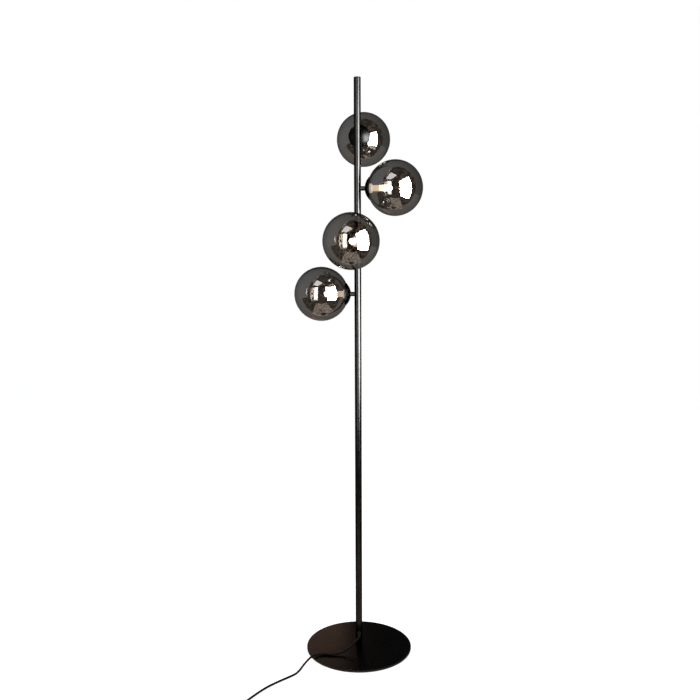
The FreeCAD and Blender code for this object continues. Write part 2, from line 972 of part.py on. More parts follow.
def make_inner_lead(doc, size):
    """The cord inside the pole, from the strain relief's inner end up to the splice."""
    turn = size.relief_start.value
    inside = exit_direction() * turn + Vector(0, 0, size.exit_height.value)
    level = math.radians(45)
    middle = exit_direction() * (turn * (1 - math.sin(level)))
    middle.z = size.exit_height.value + turn * (1 - math.cos(level))
    up = Vector(0, 0, size.exit_height.value + turn)
    bend = Part.Arc(inside, middle, up).toShape()
    rise = Part.LineSegment(up, Vector(0, 0, size.splice_height.value)).toShape()
    return tube_feature(doc, "inner_lead", Part.Wire([bend, rise]), size.cord_diameter.value)


def make_splice(doc, size):
    body = new_body(doc, "splice_block")
    sketch = new_sketch(body)
    circle(sketch, size.splice_diameter)
    block = pad(body, sketch, size.splice_length)
    doc.recompute()
    half = size.splice_diameter / 2
    ends = rim_edges(block, (half, 0), (half, size.splice_length))
    soften(body, block, ends, size.splice_round)
    place(body, (0, 0, size.splice_height))
    return body


def make_lamp_wires(doc, size):
    """Four wires that rise inside the pole and bend into the arms."""
    shapes = []
    offset, end = size.lamp_wire_offset.value, size.nipple_end.value
    for light in LIGHTS:
        direction = ARM_DIRECTIONS[light]
        height = light_height(size, light).value
        foot = direction * offset + Vector(0, 0, size.splice_height.value + size.splice_length.value)
        below = direction * offset + Vector(0, 0, height - offset)
        beside = direction * (2 * offset) + Vector(0, 0, height)
        reach = offset * (1 - math.sqrt(0.5))
        middle = direction * (offset + reach) + Vector(0, 0, height - reach)
        edges = [
            Part.LineSegment(foot, below).toShape(),
            Part.Arc(below, middle, beside).toShape(),
            Part.LineSegment(beside, direction * end + Vector(0, 0, height)).toShape(),
        ]
        shapes.append(pipe(Part.Wire(edges), size.lamp_wire_diameter.value))
    wires = doc.addObject("Part::Feature", "lamp_wires")
    wires.Label = "lamp_wires"
    wires.Shape = Part.makeCompound(shapes)
    return wires


def coil_line(turns):
    """The coil's centre line and direction, a number of turns from its start.

    It spirals in at a steady rate, climbs a layer in the part of a turn about the middle, where
    the spiral reverses, and spirals out again.
    """
    middle = COIL_TURNS / 2
    past = turns - middle
    inner = COIL_MIDDLE_RADIUS - COIL_PITCH * middle / 2
    if abs(past) < COIL_CLIMB / 2:
        radius = inner + COIL_PITCH * (COIL_CLIMB / 4 + past**2 / COIL_CLIMB)
        radius_rate = 2 * COIL_PITCH * past / COIL_CLIMB
        share = past / COIL_CLIMB + 0.5
        height = COIL_PITCH * share**2 * (3 - 2 * share)
        height_rate = COIL_PITCH * 6 * share * (1 - share) / COIL_CLIMB
    else:
        radius = inner + COIL_PITCH * abs(past)
        radius_rate = math.copysign(COIL_PITCH, past)
        height = COIL_PITCH if past > 0 else 0
        height_rate = 0
    angle = math.radians(COIL_START_ANGLE) + 2 * math.pi * turns
    out = Vector(math.cos(angle), math.sin(angle), 0)
    across = Vector(-math.sin(angle), math.cos(angle), 0)
    spot = COIL_CENTRE + out * radius + Vector(0, 0, COIL_FLOOR + height)
    along = out * radius_rate + across * (2 * math.pi * radius) + Vector(0, 0, height_rate)
    return spot, along.normalize()


def make_cord(doc, size):
    diameter = size.cord_diameter.value
    tip = exit_direction() * size.relief_tip.value + Vector(0, 0, size.exit_height.value)
    half = Vector(size.switch_length.value / 2, 0, 0)
    lift = Vector(0, 0, size.switch_cord_height.value)
    switch_in, switch_out = SWITCH_CENTRE - half + lift, SWITCH_CENTRE + half + lift
    run = routed_tube(doc, "cord_run", [tip, *CORD_RUN, switch_in], diameter)

    quarters = [0.25 * quarter for quarter in range(4 * COIL_TURNS + 1)]
    wire = wound_wire(coil_line, quarters, diameter)
    gap = least_gap(wire, diameter, 2 * math.pi * COIL_MIDDLE_RADIUS)
    print(f"cord_coil: least gap between turns {gap:.2f} mm")
    if gap < LEAST_COIL_GAP:
        raise ValueError("the coil's turns are too close")
    coil = tube_feature(doc, "cord_coil", wire, diameter)

    coil_in = wire.Vertexes[0].Point
    coil_out = wire.Vertexes[-1].Point
    lead = routed_tube(doc, "cord_lead", [switch_out, *CORD_LEAD, coil_in], diameter)
    tail = routed_tube(doc, "cord_tail", [coil_out, *CORD_TAIL, PLUG_ENTRY], diameter)
    return [run, lead, coil, tail]


# --- foot switch --------------------------------------------------------------------------------


def rounded_box(sketch, length, width, corner):
    """A rectangle with round corners, centred on the sketch's origin."""
    x, y = length / 2, width / 2
    outline(
        sketch,
        [
            (x - corner, -y),
            (corner - x, -y, corner, "right"),
            (-x, corner - y),
            (-x, y - corner, corner, "right"),
            (corner - x, y),
            (x - corner, y, corner, "right"),
            (x, y - corner),
            (x, corner - y, corner, "right"),
        ],
    )


def switch_outline(sketch, size, inset=0):
    """The foot switch's outline, moved inwards by an inset."""
    length, width = size.switch_length - inset * 2, size.switch_width - inset * 2
    rounded_box(sketch, length, width, size.switch_corner - inset)


def on_switch(piece, height=0):
    place(piece, (SWITCH_CENTRE.x, SWITCH_CENTRE.y, height))


def screw_spots(sketch, size, diameter):
    for side in (-1, 1):
        circle(sketch, diameter, size.switch_screw_spacing / 2 * side)


def make_switch_base(doc, size):
    body = new_body(doc, "switch_base")
    sketch = new_sketch(body)
    switch_outline(sketch, size)
    pad(body, sketch, size.switch_base_height)
    sketch = new_sketch(body, "XY_Plane", size.switch_base_height)
    switch_outline(sketch, size, size.switch_wall)
    pocket(body, sketch, size.switch_base_height - size.switch_wall)
    sketch = new_sketch(body)
    screw_spots(sketch, size, size.switch_boss_diameter)
    pad(body, sketch, size.switch_base_height)
    sketch = new_sketch(body)
    screw_spots(sketch, size, size.switch_screw_head)
    pocket(body, sketch, size.switch_screw_recess + size.switch_screw_head_height, away=True)
    sketch = new_sketch(body)
    screw_spots(sketch, size, size.switch_screw_diameter)
    pocket(body, sketch, size.switch_base_height, away=True)
    on_switch(body)
    return body


def make_switch_cover(doc, size):
    body = new_body(doc, "switch_cover")
    height = size.switch_height - size.switch_base_height
    sketch = new_sketch(body)
    switch_outline(sketch, size)
    block = pad(body, sketch, height)
    doc.recompute()
    soften(body, block, top_edges(block, height.value), size.switch_top_round)
    sketch = new_sketch(body)
    switch_outline(sketch, size, size.switch_wall)
    pocket(body, sketch, height - size.switch_wall, away=True)
    sketch = new_sketch(body)
    screw_spots(sketch, size, size.switch_boss_diameter)
    pad(body, sketch, height - size.switch_wall / 2)
    sketch = new_sketch(body)
    screw_spots(sketch, size, size.switch_screw_diameter)
    screw_top = size.switch_screw_recess + size.switch_screw_length
    pocket(body, sketch, screw_top - size.switch_base_height, away=True)
    sketch = new_sketch(body)
    circle(sketch, size.button_diameter + size.button_clearance * 2)
    pocket(body, sketch, height, away=True)
    on_switch(body, size.switch_base_height)
    return body


def make_switch_button(doc, size):
    body = new_body(doc, "switch_button")
    flange = size.button_flange_diameter / 2
    stem = size.button_diameter / 2
    socket = size.button_socket_diameter / 2
    flange_top = size.button_flange_at + size.button_flange_height
    turned(
        body,
        [
            (0, size.button_socket_top),
            (socket, size.button_socket_top),
            (socket, size.button_flange_at),
            (flange, size.button_flange_at),
            (flange, flange_top),
            (stem, flange_top),
            (stem, size.button_top - size.button_round, size.button_round, "left"),
            (stem - size.button_round, size.button_top),
            (0, size.button_top),
        ],
    )
    on_switch(body)
    return body


def make_switch_contacts(doc, size):
    body = new_body(doc, "switch_contacts")
    sketch = new_sketch(body)
    rounded_box(sketch, size.contact_length, size.contact_width, size.contact_corner)
    pad(body, sketch, size.contact_top - size.switch_wall)
    on_switch(body, size.switch_wall)
    return body


def make_switch_spring(doc, size):
    """A round-wire spring between the contact block and the button's socket."""
    wire_radius = size.spring_wire.value / 2
    radius = size.spring_diameter.value / 2 - wire_radius
    bottom = size.contact_top.value + wire_radius
    top = size.button_socket_top.value - wire_radius
    turns = size.spring_turns.value

    def spring_line(turn):
        angle = 2 * math.pi * turn
        out = Vector(math.cos(angle), math.sin(angle), 0)
        across = Vector(-math.sin(angle), math.cos(angle), 0)
        rate = (top - bottom) / turns
        spot = out * radius + Vector(0, 0, bottom + rate * turn)
        along = across * (2 * math.pi * radius) + Vector(0, 0, rate)
        return SWITCH_CENTRE + spot, along.normalize()

    quarters = [0.25 * quarter for quarter in range(int(4 * turns) + 1)]
    edges = []
    spots = [spring_line(quarter) for quarter in quarters]
    for (start, along_start), (end, along_end) in zip(spots, spots[1:]):
        edges += biarc(start, along_start, end, along_end)
    return tube_feature(doc, "switch_spring", Part.Wire(edges), size.spring_wire.value)


def make_switch_screws(doc, size):
    screws = []
    for name, side in (("left", -1), ("right", 1)):
        head = cylinder(doc, f"screw_head_{name}", size.switch_screw_head, size.switch_screw_head_height)
        shank = cylinder(doc, f"screw_shank_{name}", size.switch_screw_diameter, size.switch_screw_length)
        screw = doc.addObject("Part::Fuse", f"switch_screw_{name}")
        screw.Base = head
        screw.Tool = shank
        x = size.switch_screw_spacing / 2 * side + SWITCH_CENTRE.x
        place(screw, (x, SWITCH_CENTRE.y, size.switch_screw_recess))
        screws.append(screw)
    return group(doc, "switch_screws", screws)


# --- plug ---------------------------------------------------------------------------------------


def make_plug_body(doc, size):
    """A flat two-pin plug, widening from the cord to the pins, with its moulded strain relief."""
    body = new_body(doc, "plug_body")
    front, rear = size.plug_front_width / 2, size.plug_rear_width / 2
    near, far = size.plug_relief_length, size.plug_relief_length + size.plug_length
    shoulder = near + size.plug_taper_length
    inset = near + size.plug_relief_inset
    sketch = new_sketch(body, "XY_Plane", -size.plug_thickness / 2)
    outline(
        sketch,
        [(near, -rear), (shoulder, -front), (far, -front), (far, front), (shoulder, front), (near, rear)],
    )
    block = pad(body, sketch, size.plug_thickness)
    doc.recompute()
    half = size.plug_thickness.value / 2
    edges = top_edges(block, half) + top_edges(block, -half)
    soften(body, block, edges, size.plug_round)
    sketch = new_sketch(body, "XZ_Plane")
    outline(
        sketch,
        [(0, 0), (0, size.plug_relief_tip / 2), (inset, size.plug_relief_diameter / 2), (inset, 0)],
    )
    cone = body.newObject("PartDesign::Revolution", "Relief")
    cone.Profile = sketch
    cone.ReferenceAxis = (sketch, ["H_Axis"])
    cone.Angle = 360
    place(body, PLUG_ENTRY)
    return body


def make_plug_pins(doc, size):
    pins = []
    for name, side in (("left", 1), ("right", -1)):
        pin = cylinder(doc, f"plug_pin_{name}", size.plug_pin_diameter, size.plug_pin_length)
        x = size.plug_relief_length + size.plug_length + PLUG_ENTRY.x
        y = size.plug_pin_spacing / 2 * side + PLUG_ENTRY.y
        place(pin, (x, y, PLUG_ENTRY.z), Rotation(Vector(0, 0, 1), Vector(1, 0, 0)))
        pins.append(pin)
    return group(doc, "plug_pins", pins)


# --- the lamp -----------------------------------------------------------------------------------


def make_lamp(doc):
    sheet = doc.addObject("Spreadsheet::Sheet", "Sizes")
    size = Sizes(sheet)
    doc.recompute()
    pieces = [
        make_base_pad(doc, size),
        make_base_plate(doc, size),
        make_base_screw(doc, size),
        make_pole_foot(doc, size),
        *make_poles(doc, size),
        make_pole_sockets(doc, size),
        make_pole_nipples(doc, size),
        make_pole_cap(doc, size),
        make_arm_nipples(doc, size),
        make_arm_nuts(doc, size),
    ]
    light_pieces = (
        make_arm_tube,
        make_cup,
        make_lampholder,
        make_gasket,
        make_globe,
        make_bulb_base,
        make_bulb_cover,
        make_bulb_core,
    )
    for light in LIGHTS:
        pieces += [make(doc, size, light) for make in light_pieces]
    pieces += [
        make_strain_relief(doc, size),
        make_inner_lead(doc, size),
        make_splice(doc, size),
        make_lamp_wires(doc, size),
        *make_cord(doc, size),
        make_switch_base(doc, size),
        make_switch_cover(doc, size),
        make_switch_button(doc, size),
        make_switch_contacts(doc, size),
        make_switch_spring(doc, size),
        make_switch_screws(doc, size),
        make_plug_body(doc, size),
        make_plug_pins(doc, size),
    ]
    doc.recompute()
    return pieces


def check(doc, pieces):
    for thing in doc.Objects:
        if "Invalid" in thing.State or "Error" in thing.State:
            raise RuntimeError(f"{thing.Label} failed: {thing.State}")
    for piece in pieces:
        shape = piece.Shape
        if shape.isNull() or not shape.isValid() or not shape.Solids:
            raise RuntimeError(f"{piece.Label} has no sound solid")


def main():
    doc = FreeCAD.newDocument("GlobeFloorLamp")
    pieces = make_lamp(doc)
    check(doc, pieces)
    os.makedirs("parts", exist_ok=True)
    for piece in pieces:
        piece.Shape.exportStep(f"parts/{piece.Label}.step")
    print(f"{len(pieces)} pieces written")


main()
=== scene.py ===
"""The looks of a globe floor lamp: finishes, smoked glass, lit bulbs, mains cord and studio."""

import json
import math

import bmesh
import bpy
from mathutils import Matrix, Vector


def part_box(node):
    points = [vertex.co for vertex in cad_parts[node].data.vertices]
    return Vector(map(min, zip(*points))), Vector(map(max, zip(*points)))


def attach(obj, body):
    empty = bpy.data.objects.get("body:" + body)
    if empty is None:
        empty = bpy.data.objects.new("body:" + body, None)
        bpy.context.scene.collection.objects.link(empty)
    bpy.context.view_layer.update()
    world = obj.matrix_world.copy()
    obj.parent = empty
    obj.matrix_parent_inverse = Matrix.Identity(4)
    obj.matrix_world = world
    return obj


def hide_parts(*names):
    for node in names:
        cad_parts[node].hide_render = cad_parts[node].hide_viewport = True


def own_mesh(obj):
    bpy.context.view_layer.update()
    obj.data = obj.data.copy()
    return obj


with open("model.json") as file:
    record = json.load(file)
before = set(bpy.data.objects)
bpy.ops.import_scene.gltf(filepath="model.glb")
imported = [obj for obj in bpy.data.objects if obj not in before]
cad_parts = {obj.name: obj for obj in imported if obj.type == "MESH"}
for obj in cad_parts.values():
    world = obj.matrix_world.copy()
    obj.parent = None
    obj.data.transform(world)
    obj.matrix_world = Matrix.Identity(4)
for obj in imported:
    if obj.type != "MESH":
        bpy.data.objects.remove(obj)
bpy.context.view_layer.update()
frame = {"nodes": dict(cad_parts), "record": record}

LIGHTS = (1, 2, 3, 4)
ROOT = "lamp"
UP = Vector((0, 0, 1))

# Camera, from the photograph's perspective of the pole, the base's ellipse and the four globes.
CAMERA_AT = Vector((0.3787, -2.2087, 1.1318))
CAMERA_TURN = 10.30  # degrees about +Z, from looking along +Y
CAMERA_TILT = 6.75  # degrees below the horizon
CAMERA_ROLL = -0.26
CAMERA_LENS = 41.83  # mm
CAMERA_SENSOR = 36

# The strain relief, in metres: its places are measured outwards from the pole's axis.
EXIT_ANGLE = 12  # degrees from -Y towards +X at which the cord leaves the pole
EXIT_HEIGHT = 0.047
RELIEF_BACK = 0.0076
RELIEF_START = 0.0120
RELIEF_TIP = 0.028
RELIEF_ROOT_RADIUS = 0.0044
RELIEF_TIP_RADIUS = 0.0035
RELIEF_EDGE = 0.0003
RELIEF_EDGE_LENGTH = 0.0004
RELIEF_GROOVES = 5
GROOVE_DEPTH = 0.0005
GROOVE_SHAPE = ((0.1, 0), (0.3, 1), (0.6, 1), (0.8, 0))  # shares of a groove's length and depth
COLLAR_BACK = 0.0106
COLLAR_RADIUS = 0.0048  # to the middle of its round edges
COLLAR_ROUND = 0.0006
RELIEF_STEPS = 48

# The mains cord, in metres. Both stretches follow the route of the lamp's own cord.
CORD_DIAMETER = 0.0058
CORD_RUN = [
    (0.00728, -0.03424, 0.047),
    (0.0044, -0.0406, 0.0446),
    (-0.002, -0.0456, 0.0388),
    (-0.010, -0.051, 0.031),
    (-0.0185, -0.0572, 0.0235),
    (-0.0295, -0.0645, 0.0165),
    (-0.0445, -0.0725, 0.0118),
    (-0.063, -0.0795, 0.0106),
    (-0.081, -0.0785, 0.0106),
    (-0.097, -0.0815, 0.0107),
    (-0.109, -0.091, 0.0126),
    (-0.118, -0.108, 0.0134),
    (-0.125, -0.126, 0.0108),
    (-0.132, -0.146, 0.006),
    (-0.136, -0.166, 0.0033),
    (-0.142, -0.186, 0.003),
    (-0.156, -0.205, 0.003),
    (-0.173, -0.226, 0.003),
    (-0.190, -0.249, 0.003),
    (-0.204, -0.271, 0.003),
    (-0.217, -0.299, 0.003),
    (-0.230, -0.330, 0.003),
    (-0.241, -0.360, 0.003),
    (-0.242, -0.388, 0.003),
    (-0.228, -0.411, 0.004),
    (-0.202, -0.4188, 0.0062),
]
SWITCH_IN = (-0.178, -0.4188, 0.0062)
SWITCH_OUT = (-0.100, -0.4188, 0.0062)
CORD_LEAD = [(-0.088, -0.4188, 0.0062), (-0.062, -0.4192, 0.0031)]
CORD_TAIL = [(-0.027, -0.41915, 0.0096), (0.006, -0.4205, 0.00685)]
PLUG_ENTRY = (0.018, -0.4205, 0.00685)

COIL_CENTRE = Vector((-0.044, -0.376, 0))
COIL_FLOOR = 0.0031
COIL_TURNS = 6
COIL_MIDDLE_RADIUS = 0.033
COIL_PITCH = 0.0065
COIL_CLIMB = 0.5  # turns in which it climbs to its second layer
COIL_START_ANGLE = -90  # degrees from +X
COIL_POINTS = 18  # control points for each turn

# The four lights' pieces, as distances along the arm from the pole's axis and as radii.
GLOBE_CENTRE = 0.1026
GLOBE_RADIUS = 0.075
GLOBE_WALL = 0.002
NECK_BACK = 0.0286
NECK_OUTER = 0.0194
NECK_INNER = 0.017
CUP_BACK = 0.0206
CUP_FLAT = 0.007
CUP_RADIUS = 0.042
CUP_WALL = 0.0012
CUP_RIM = 0.03295
CUP_FLOOR = 0.0224
SPIGOT_OUTER = 0.0166
SPIGOT_INNER = 0.0142
SPIGOT_FRONT = 0.0335
NIPPLE_RADIUS = 0.005
STICK_RADIUS = 0.0025
CHIP_ROWS = 7
CHIP_SIDES = 6
CHIP_START = 0.066
CHIP_END = 0.0845
CHIP_DEPTH = 0.0008
CHIP_WIDTH = 0.0018
CHIP_FILL = 0.72  # a chip's share of its row
CHIP_EDGE = 0.00015

# How much of a globe's surface is film rather than clear, face on and edge on.
GLASS_FILM = 0.37
GLASS_FILM_AT_EDGE = 0.62
FILM_FACINGS = (0.5, 0.95)  # between which it grows from the one to the other
FILM_FRONT = (0.36, 0.346, 0.33)
FILM_BACK = (0.02, 0.019, 0.018)
FILM_ROUGHNESS = 0.015
FILM_AT_GRAZING = (0.4, 0.4, 0.4, 1)
CLEAR_TINT = (1.0, 0.97, 0.935, 1)

# The bulbs' light, and the painted glow on their ceramic feet that stands in for it: strengths at
# the foot's and the tip's side, and distances from the pole's axis.
FOOT_PAINTED_GLOW = (0.9, 1.3)
COVER_GLOW = (0.9, 4.5)
FOOT_PAINTED_GLOW_START = 0.034
GLOW_START = 0.064
GLOW_FULL = 0.074

# How finely round shapes are cut.
ROUND_STEPS = 96
GLOBE_STEPS = 160
GLASS_ARC_STEPS = 90
LIP_STEPS = 10
CUP_OUTSIDE_STEPS = 28
CUP_INSIDE_STEPS = 14
CUP_FLOOR_STEPS = 6
RIM_STEPS = 8
COLLAR_STEPS = 4

SMOOTH_ANGLE = 30  # degrees, above which an edge stays sharp
MERGE_DISTANCE = 1e-6
ON_AXIS = 1e-7  # a smaller radius is a point on the axis

WHITE = (1, 1, 1, 1)


# --- materials ----------------------------------------------------------------------------------


class Finish:
    """A material's node tree, built up around its Principled shader."""

    def __init__(self, name, colour, roughness, **sockets):
        self.material = bpy.data.materials.new(name)
        self.material.use_nodes = True
        self.nodes = self.material.node_tree.nodes
        self.links = self.material.node_tree.links
        self.shader = self.nodes["Principled BSDF"]
        self.shader.inputs["Base Color"].default_value = (*colour, 1)
        self.shader.inputs["Roughness"].default_value = roughness
        for socket, value in sockets.items():
            self.shader.inputs[socket.replace("_", " ")].default_value = value
        self.place = None

    def node(self, kind, **settings):
        node = self.nodes.new(kind)
        for key, value in settings.items():
            setattr(node, key, value)
        return node

    def link(self, source, target):
        self.links.new(source, target)

    def position(self, stretch=(1, 1, 1)):
        """The piece's own coordinates, in metres, stretched along its axes."""
        if self.place is None:
            self.place = self.node("ShaderNodeTexCoord")
        mapping = self.node("ShaderNodeMapping")
        mapping.inputs["Scale"].default_value = stretch
        self.link(self.place.outputs["Object"], mapping.inputs["Vector"])
        return mapping.outputs["Vector"]

    def noise(self, scale, detail):
        """Even noise, with a scale in features per metre."""
        noise = self.node("ShaderNodeTexNoise")
        noise.inputs["Scale"].default_value = scale
        noise.inputs["Detail"].default_value = detail
        self.link(self.position(), noise.inputs["Vector"])
        return noise.outputs["Fac"]

    def between(self, factor, low, high, start=0.3, end=0.7):
        """A number that follows a factor from low to high."""
        ranged = self.node("ShaderNodeMapRange")
        limits = {"From Min": start, "From Max": end, "To Min": low, "To Max": high}
        for name, value in limits.items():
            ranged.inputs[name].default_value = value
        self.link(factor, ranged.inputs["Value"])
        return ranged.outputs["Result"]

    def tones(self, factor, *stops):
        """Colours along a factor, as (position, colour) stops."""
        ramp = self.node("ShaderNodeValToRGB")
        elements = ramp.color_ramp.elements
        while len(elements) < len(stops):
            elements.new(0.5)
        for element, (position, colour) in zip(elements, stops):
            element.position = position
            element.color = (*colour, 1)
        self.link(factor, ramp.inputs["Fac"])
        self.link(ramp.outputs["Color"], self.shader.inputs["Base Color"])
        return ramp.outputs["Color"]

    def vary_roughness(self, factor, low, high):
        self.link(self.between(factor, low, high), self.shader.inputs["Roughness"])

    def glow(self, colour, hot_colour, strength, start, full):
        """Light that grows from one distance from the pole to another, and whitens as it does."""
        flat = self.node("ShaderNodeVectorMath", operation="LENGTH")
        self.link(self.position((1, 1, 0)), flat.inputs[0])
        share = self.between(flat.outputs["Value"], 0, 1, start, full)
        ramp = self.node("ShaderNodeValToRGB")
        ramp.color_ramp.elements[0].color = (*colour, 1)
        ramp.color_ramp.elements[1].color = (*hot_colour, 1)
        self.link(share, ramp.inputs["Fac"])
        self.link(ramp.outputs["Color"], self.shader.inputs["Emission Color"])
        self.link(
            self.between(share, strength[0], strength[1], 0, 1),
            self.shader.inputs["Emission Strength"],
        )

    def mix(self, factor, first, second):
        """What the surface shows: the first shader, and the second by a factor."""
        blend = self.node("ShaderNodeMixShader")
        self.link(factor, blend.inputs[0])
        self.link(first, blend.inputs[1])
        self.link(second, blend.inputs[2])
        self.link(blend.outputs[0], self.nodes["Material Output"].inputs["Surface"])

    def bump(self, height, distance, strength=1.0):
        bump = self.node("ShaderNodeBump")
        bump.inputs["Distance"].default_value = distance
        bump.inputs["Strength"].default_value = strength
        self.link(height, bump.inputs["Height"])
        self.link(bump.outputs["Normal"], self.shader.inputs["Normal"])


def powder_coat(name, roughness, shine, edge_shine):
    """Satin black coat over metal: a fine orange peel, and a slightly uneven gloss."""
    finish = Finish(
        name, (shine,) * 3, roughness, Metallic=1.0, Specular_Tint=(*(edge_shine,) * 3, 1)
    )
    finish.tones(
        finish.noise(scale=60, detail=3),
        (0.3, [shine * c for c in (0.9, 0.89, 0.87)]),
        (0.7, [shine * c for c in (1.1, 1.09, 1.07)]),
    )
    gloss = finish.noise(scale=180, detail=4)
    finish.vary_roughness(gloss, low=roughness - 0.02, high=roughness + 0.02)
    finish.bump(finish.noise(scale=400, detail=2), distance=0.000002)
    return finish.material


def smoked_glass(name, colour):
    """Blown grey glass with a half-mirror film. It lets less through where it is seen edge on."""
    finish = Finish(name, colour, FILM_ROUGHNESS, Metallic=1.0, Specular_Tint=FILM_AT_GRAZING)
    front = finish.tones(
        finish.noise(scale=9, detail=2),
        (0.35, [c * 0.95 for c in colour]),
        (0.65, [c * 1.05 for c in colour]),
    )
    # The film mirrors less on its back, which is the glass's side.
    back = finish.node("ShaderNodeMixRGB")
    back.inputs["Color2"].default_value = (*FILM_BACK, 1)
    finish.link(finish.node("ShaderNodeNewGeometry").outputs["Backfacing"], back.inputs["Fac"])
    finish.link(front, back.inputs["Color1"])
    finish.link(back.outputs["Color"], finish.shader.inputs["Base Color"])
    finish.bump(finish.noise(scale=22, detail=1.5), distance=0.0003, strength=0.5)
    clear = finish.node("ShaderNodeBsdfTransparent")
    clear.inputs["Color"].default_value = CLEAR_TINT
    edge = finish.node("ShaderNodeLayerWeight")
    edge.inputs["Blend"].default_value = 0.5
    film = finish.between(edge.outputs["Facing"], GLASS_FILM, GLASS_FILM_AT_EDGE, *FILM_FACINGS)
    finish.mix(film, clear.outputs[0], finish.shader.outputs[0])
    return finish.material


def bulb_glass():
    """The bulb's clear cover, flooded with its own light from the middle to the tip."""
    finish = Finish("bulb_glass", (0.98, 0.96, 0.93), 0.02, IOR=1.45, Transmission_Weight=1.0)
    finish.bump(finish.noise(scale=120, detail=1), distance=0.0001, strength=0.5)
    amber, warm_white = (1.0, 0.62, 0.3), (1.0, 0.95, 0.86)
    finish.glow(amber, warm_white, COVER_GLOW, GLOW_START, GLOW_FULL)
    return finish.material


def glazed_ceramic_painted_glow():
    """Pale ceramic with a painted warm glow that stands in for the bulb's light on it, stronger
    towards the bulb.
    """
    finish = Finish("glazed_ceramic_painted_glow", (0.84, 0.80, 0.72), 0.22, Coat_Weight=0.4)
    # Painted light: the foot's glow stands in for the bulb's light falling on it, pale at the back
    # and amber towards the bulb.
    pale, amber = (1.0, 0.88, 0.78), (1.0, 0.72, 0.45)
    finish.glow(pale, amber, FOOT_PAINTED_GLOW, FOOT_PAINTED_GLOW_START, GLOW_START)
    finish.tones(
        finish.noise(scale=240, detail=3),
        (0.35, (0.80, 0.755, 0.67)),
        (0.7, (0.88, 0.84, 0.765)),
    )
    finish.vary_roughness(finish.noise(scale=500, detail=3), low=0.18, high=0.3)
    finish.bump(finish.noise(scale=700, detail=2), distance=0.00003)
    return finish.material


def glowing(name, colour, strength, depth):
    """Phosphor that gives light, in grains of an uneven colour."""
    finish = Finish(name, colour, 0.5)
    grains = finish.noise(scale=2500, detail=2)
    finish.tones(grains, (0.3, [c * depth for c in colour]), (0.7, colour))
    finish.shader.inputs["Emission Color"].default_value = (*colour, 1)
    finish.shader.inputs["Emission Strength"].default_value = strength
    return finish.material


def moulded(name, colour, roughness, grain=2200, depth=0.00003, lift=1.35, **sockets):
    """Moulded plastic or rubber with a fine even grain."""
    finish = Finish(name, colour, roughness, **sockets)
    light = [min(c * lift, 1) for c in colour]
    finish.tones(finish.noise(scale=90, detail=4), (0.3, colour), (0.72, light))
    gloss = finish.noise(scale=400, detail=3)
    finish.vary_roughness(gloss, low=roughness - 0.05, high=roughness + 0.05)
    finish.bump(finish.noise(scale=grain, detail=2), distance=depth)
    return finish.material


def metal(name, colour, roughness):
    """Plated metal with fine marks and an uneven gloss."""
    finish = Finish(name, colour, roughness, Metallic=1.0)
    dark = [c * 0.8 for c in colour]
    marks = finish.noise(scale=300, detail=3)
    finish.tones(marks, (0.3, dark), (0.7, colour))
    gloss = finish.noise(scale=900, detail=4)
    finish.vary_roughness(gloss, low=roughness - 0.06, high=roughness + 0.08)
    finish.bump(finish.noise(scale=2500, detail=2), distance=0.00001)
    return finish.material


MATERIALS = {
    "coat_black": powder_coat("satin_black_coat", 0.2, 0.019, 0.2),
    "foam_black": moulded("black_foam", (0.02, 0.02, 0.02), 0.9, grain=1400, depth=0.0002),
    "steel_zinc": metal("zinc_plated_steel", (0.62, 0.61, 0.58), 0.34),
    "rubber_black": moulded("black_rubber", (0.005, 0.0049, 0.0047), 0.55, Specular_IOR_Level=0.15),
    "cord_black": moulded(
        "black_sheath", (0.004, 0.0039, 0.0037), 0.5, grain=900, Specular_IOR_Level=0.12
    ),
    "plastic_white": moulded("white_plastic", (0.78, 0.77, 0.74), 0.4, lift=1.08),
    "wire_clear": moulded("silicone_sleeve", (0.72, 0.70, 0.66), 0.3, lift=1.08),
    "plastic_black": moulded("black_plastic", (0.016, 0.0155, 0.015), 0.42),
    "pin_nickel": metal("nickel_plated_brass", (0.78, 0.75, 0.68), 0.2),
    "ceramic_white": glazed_ceramic_painted_glow(),
    "silicone_clear": moulded("gasket_silicone", (0.62, 0.61, 0.59), 0.35, lift=1.1),
    "glass_smoked": smoked_glass("smoked_glass", FILM_FRONT),
    "glass_clear": bulb_glass(),
    "chip_amber": moulded("light_stick", (0.82, 0.74, 0.58), 0.5, lift=1.1),
}
GLASS_INSIDE = smoked_glass("smoked_glass_inside", FILM_BACK)
BASE_COAT = powder_coat("base_coat", 0.26, 0.026, 0.6)
POLE_COAT = powder_coat("pole_coat", 0.2, 0.02, 0.2)
CUP_COAT = powder_coat("cup_coat", 0.32, 0.01, 0.2)
CHIP_GLOW = glowing("lit_chips", (1.0, 0.66, 0.32), 5, 0.8)


def dress(obj, slot, material=None):
    """Give a piece its finish: the material given, or else its slot's."""
    obj.data.materials.clear()
    obj.data.materials.append(material or MATERIALS[slot])
    return obj


# --- shapes -------------------------------------------------------------------------------------


def new_piece(name, mesh_or_curve):
    obj = bpy.data.objects.new(name, mesh_or_curve)
    bpy.context.scene.collection.objects.link(obj)
    return obj


def finished_mesh(name, mesh):
    """A mesh object from a bmesh, smooth apart from its sharp edges."""
    bmesh.ops.remove_doubles(mesh, verts=mesh.verts, dist=MERGE_DISTANCE)
    bmesh.ops.recalc_face_normals(mesh, faces=mesh.faces)
    data = bpy.data.meshes.new(name)
    mesh.to_mesh(data)
    mesh.free()
    for polygon in data.polygons:
        polygon.use_smooth = True
    data.set_sharp_from_angle(angle=math.radians(SMOOTH_ANGLE))
    return new_piece(name, data)


def arc(centre, radius, start, end, steps):
    """Points of an arc in (radius, height), with angles in degrees from the outward direction."""
    points = []
    for step in range(steps + 1):
        angle = math.radians(start + (end - start) * step / steps)
        out, along = radius * math.cos(angle), radius * math.sin(angle)
        points.append((centre[0] + out, centre[1] + along))
    return points


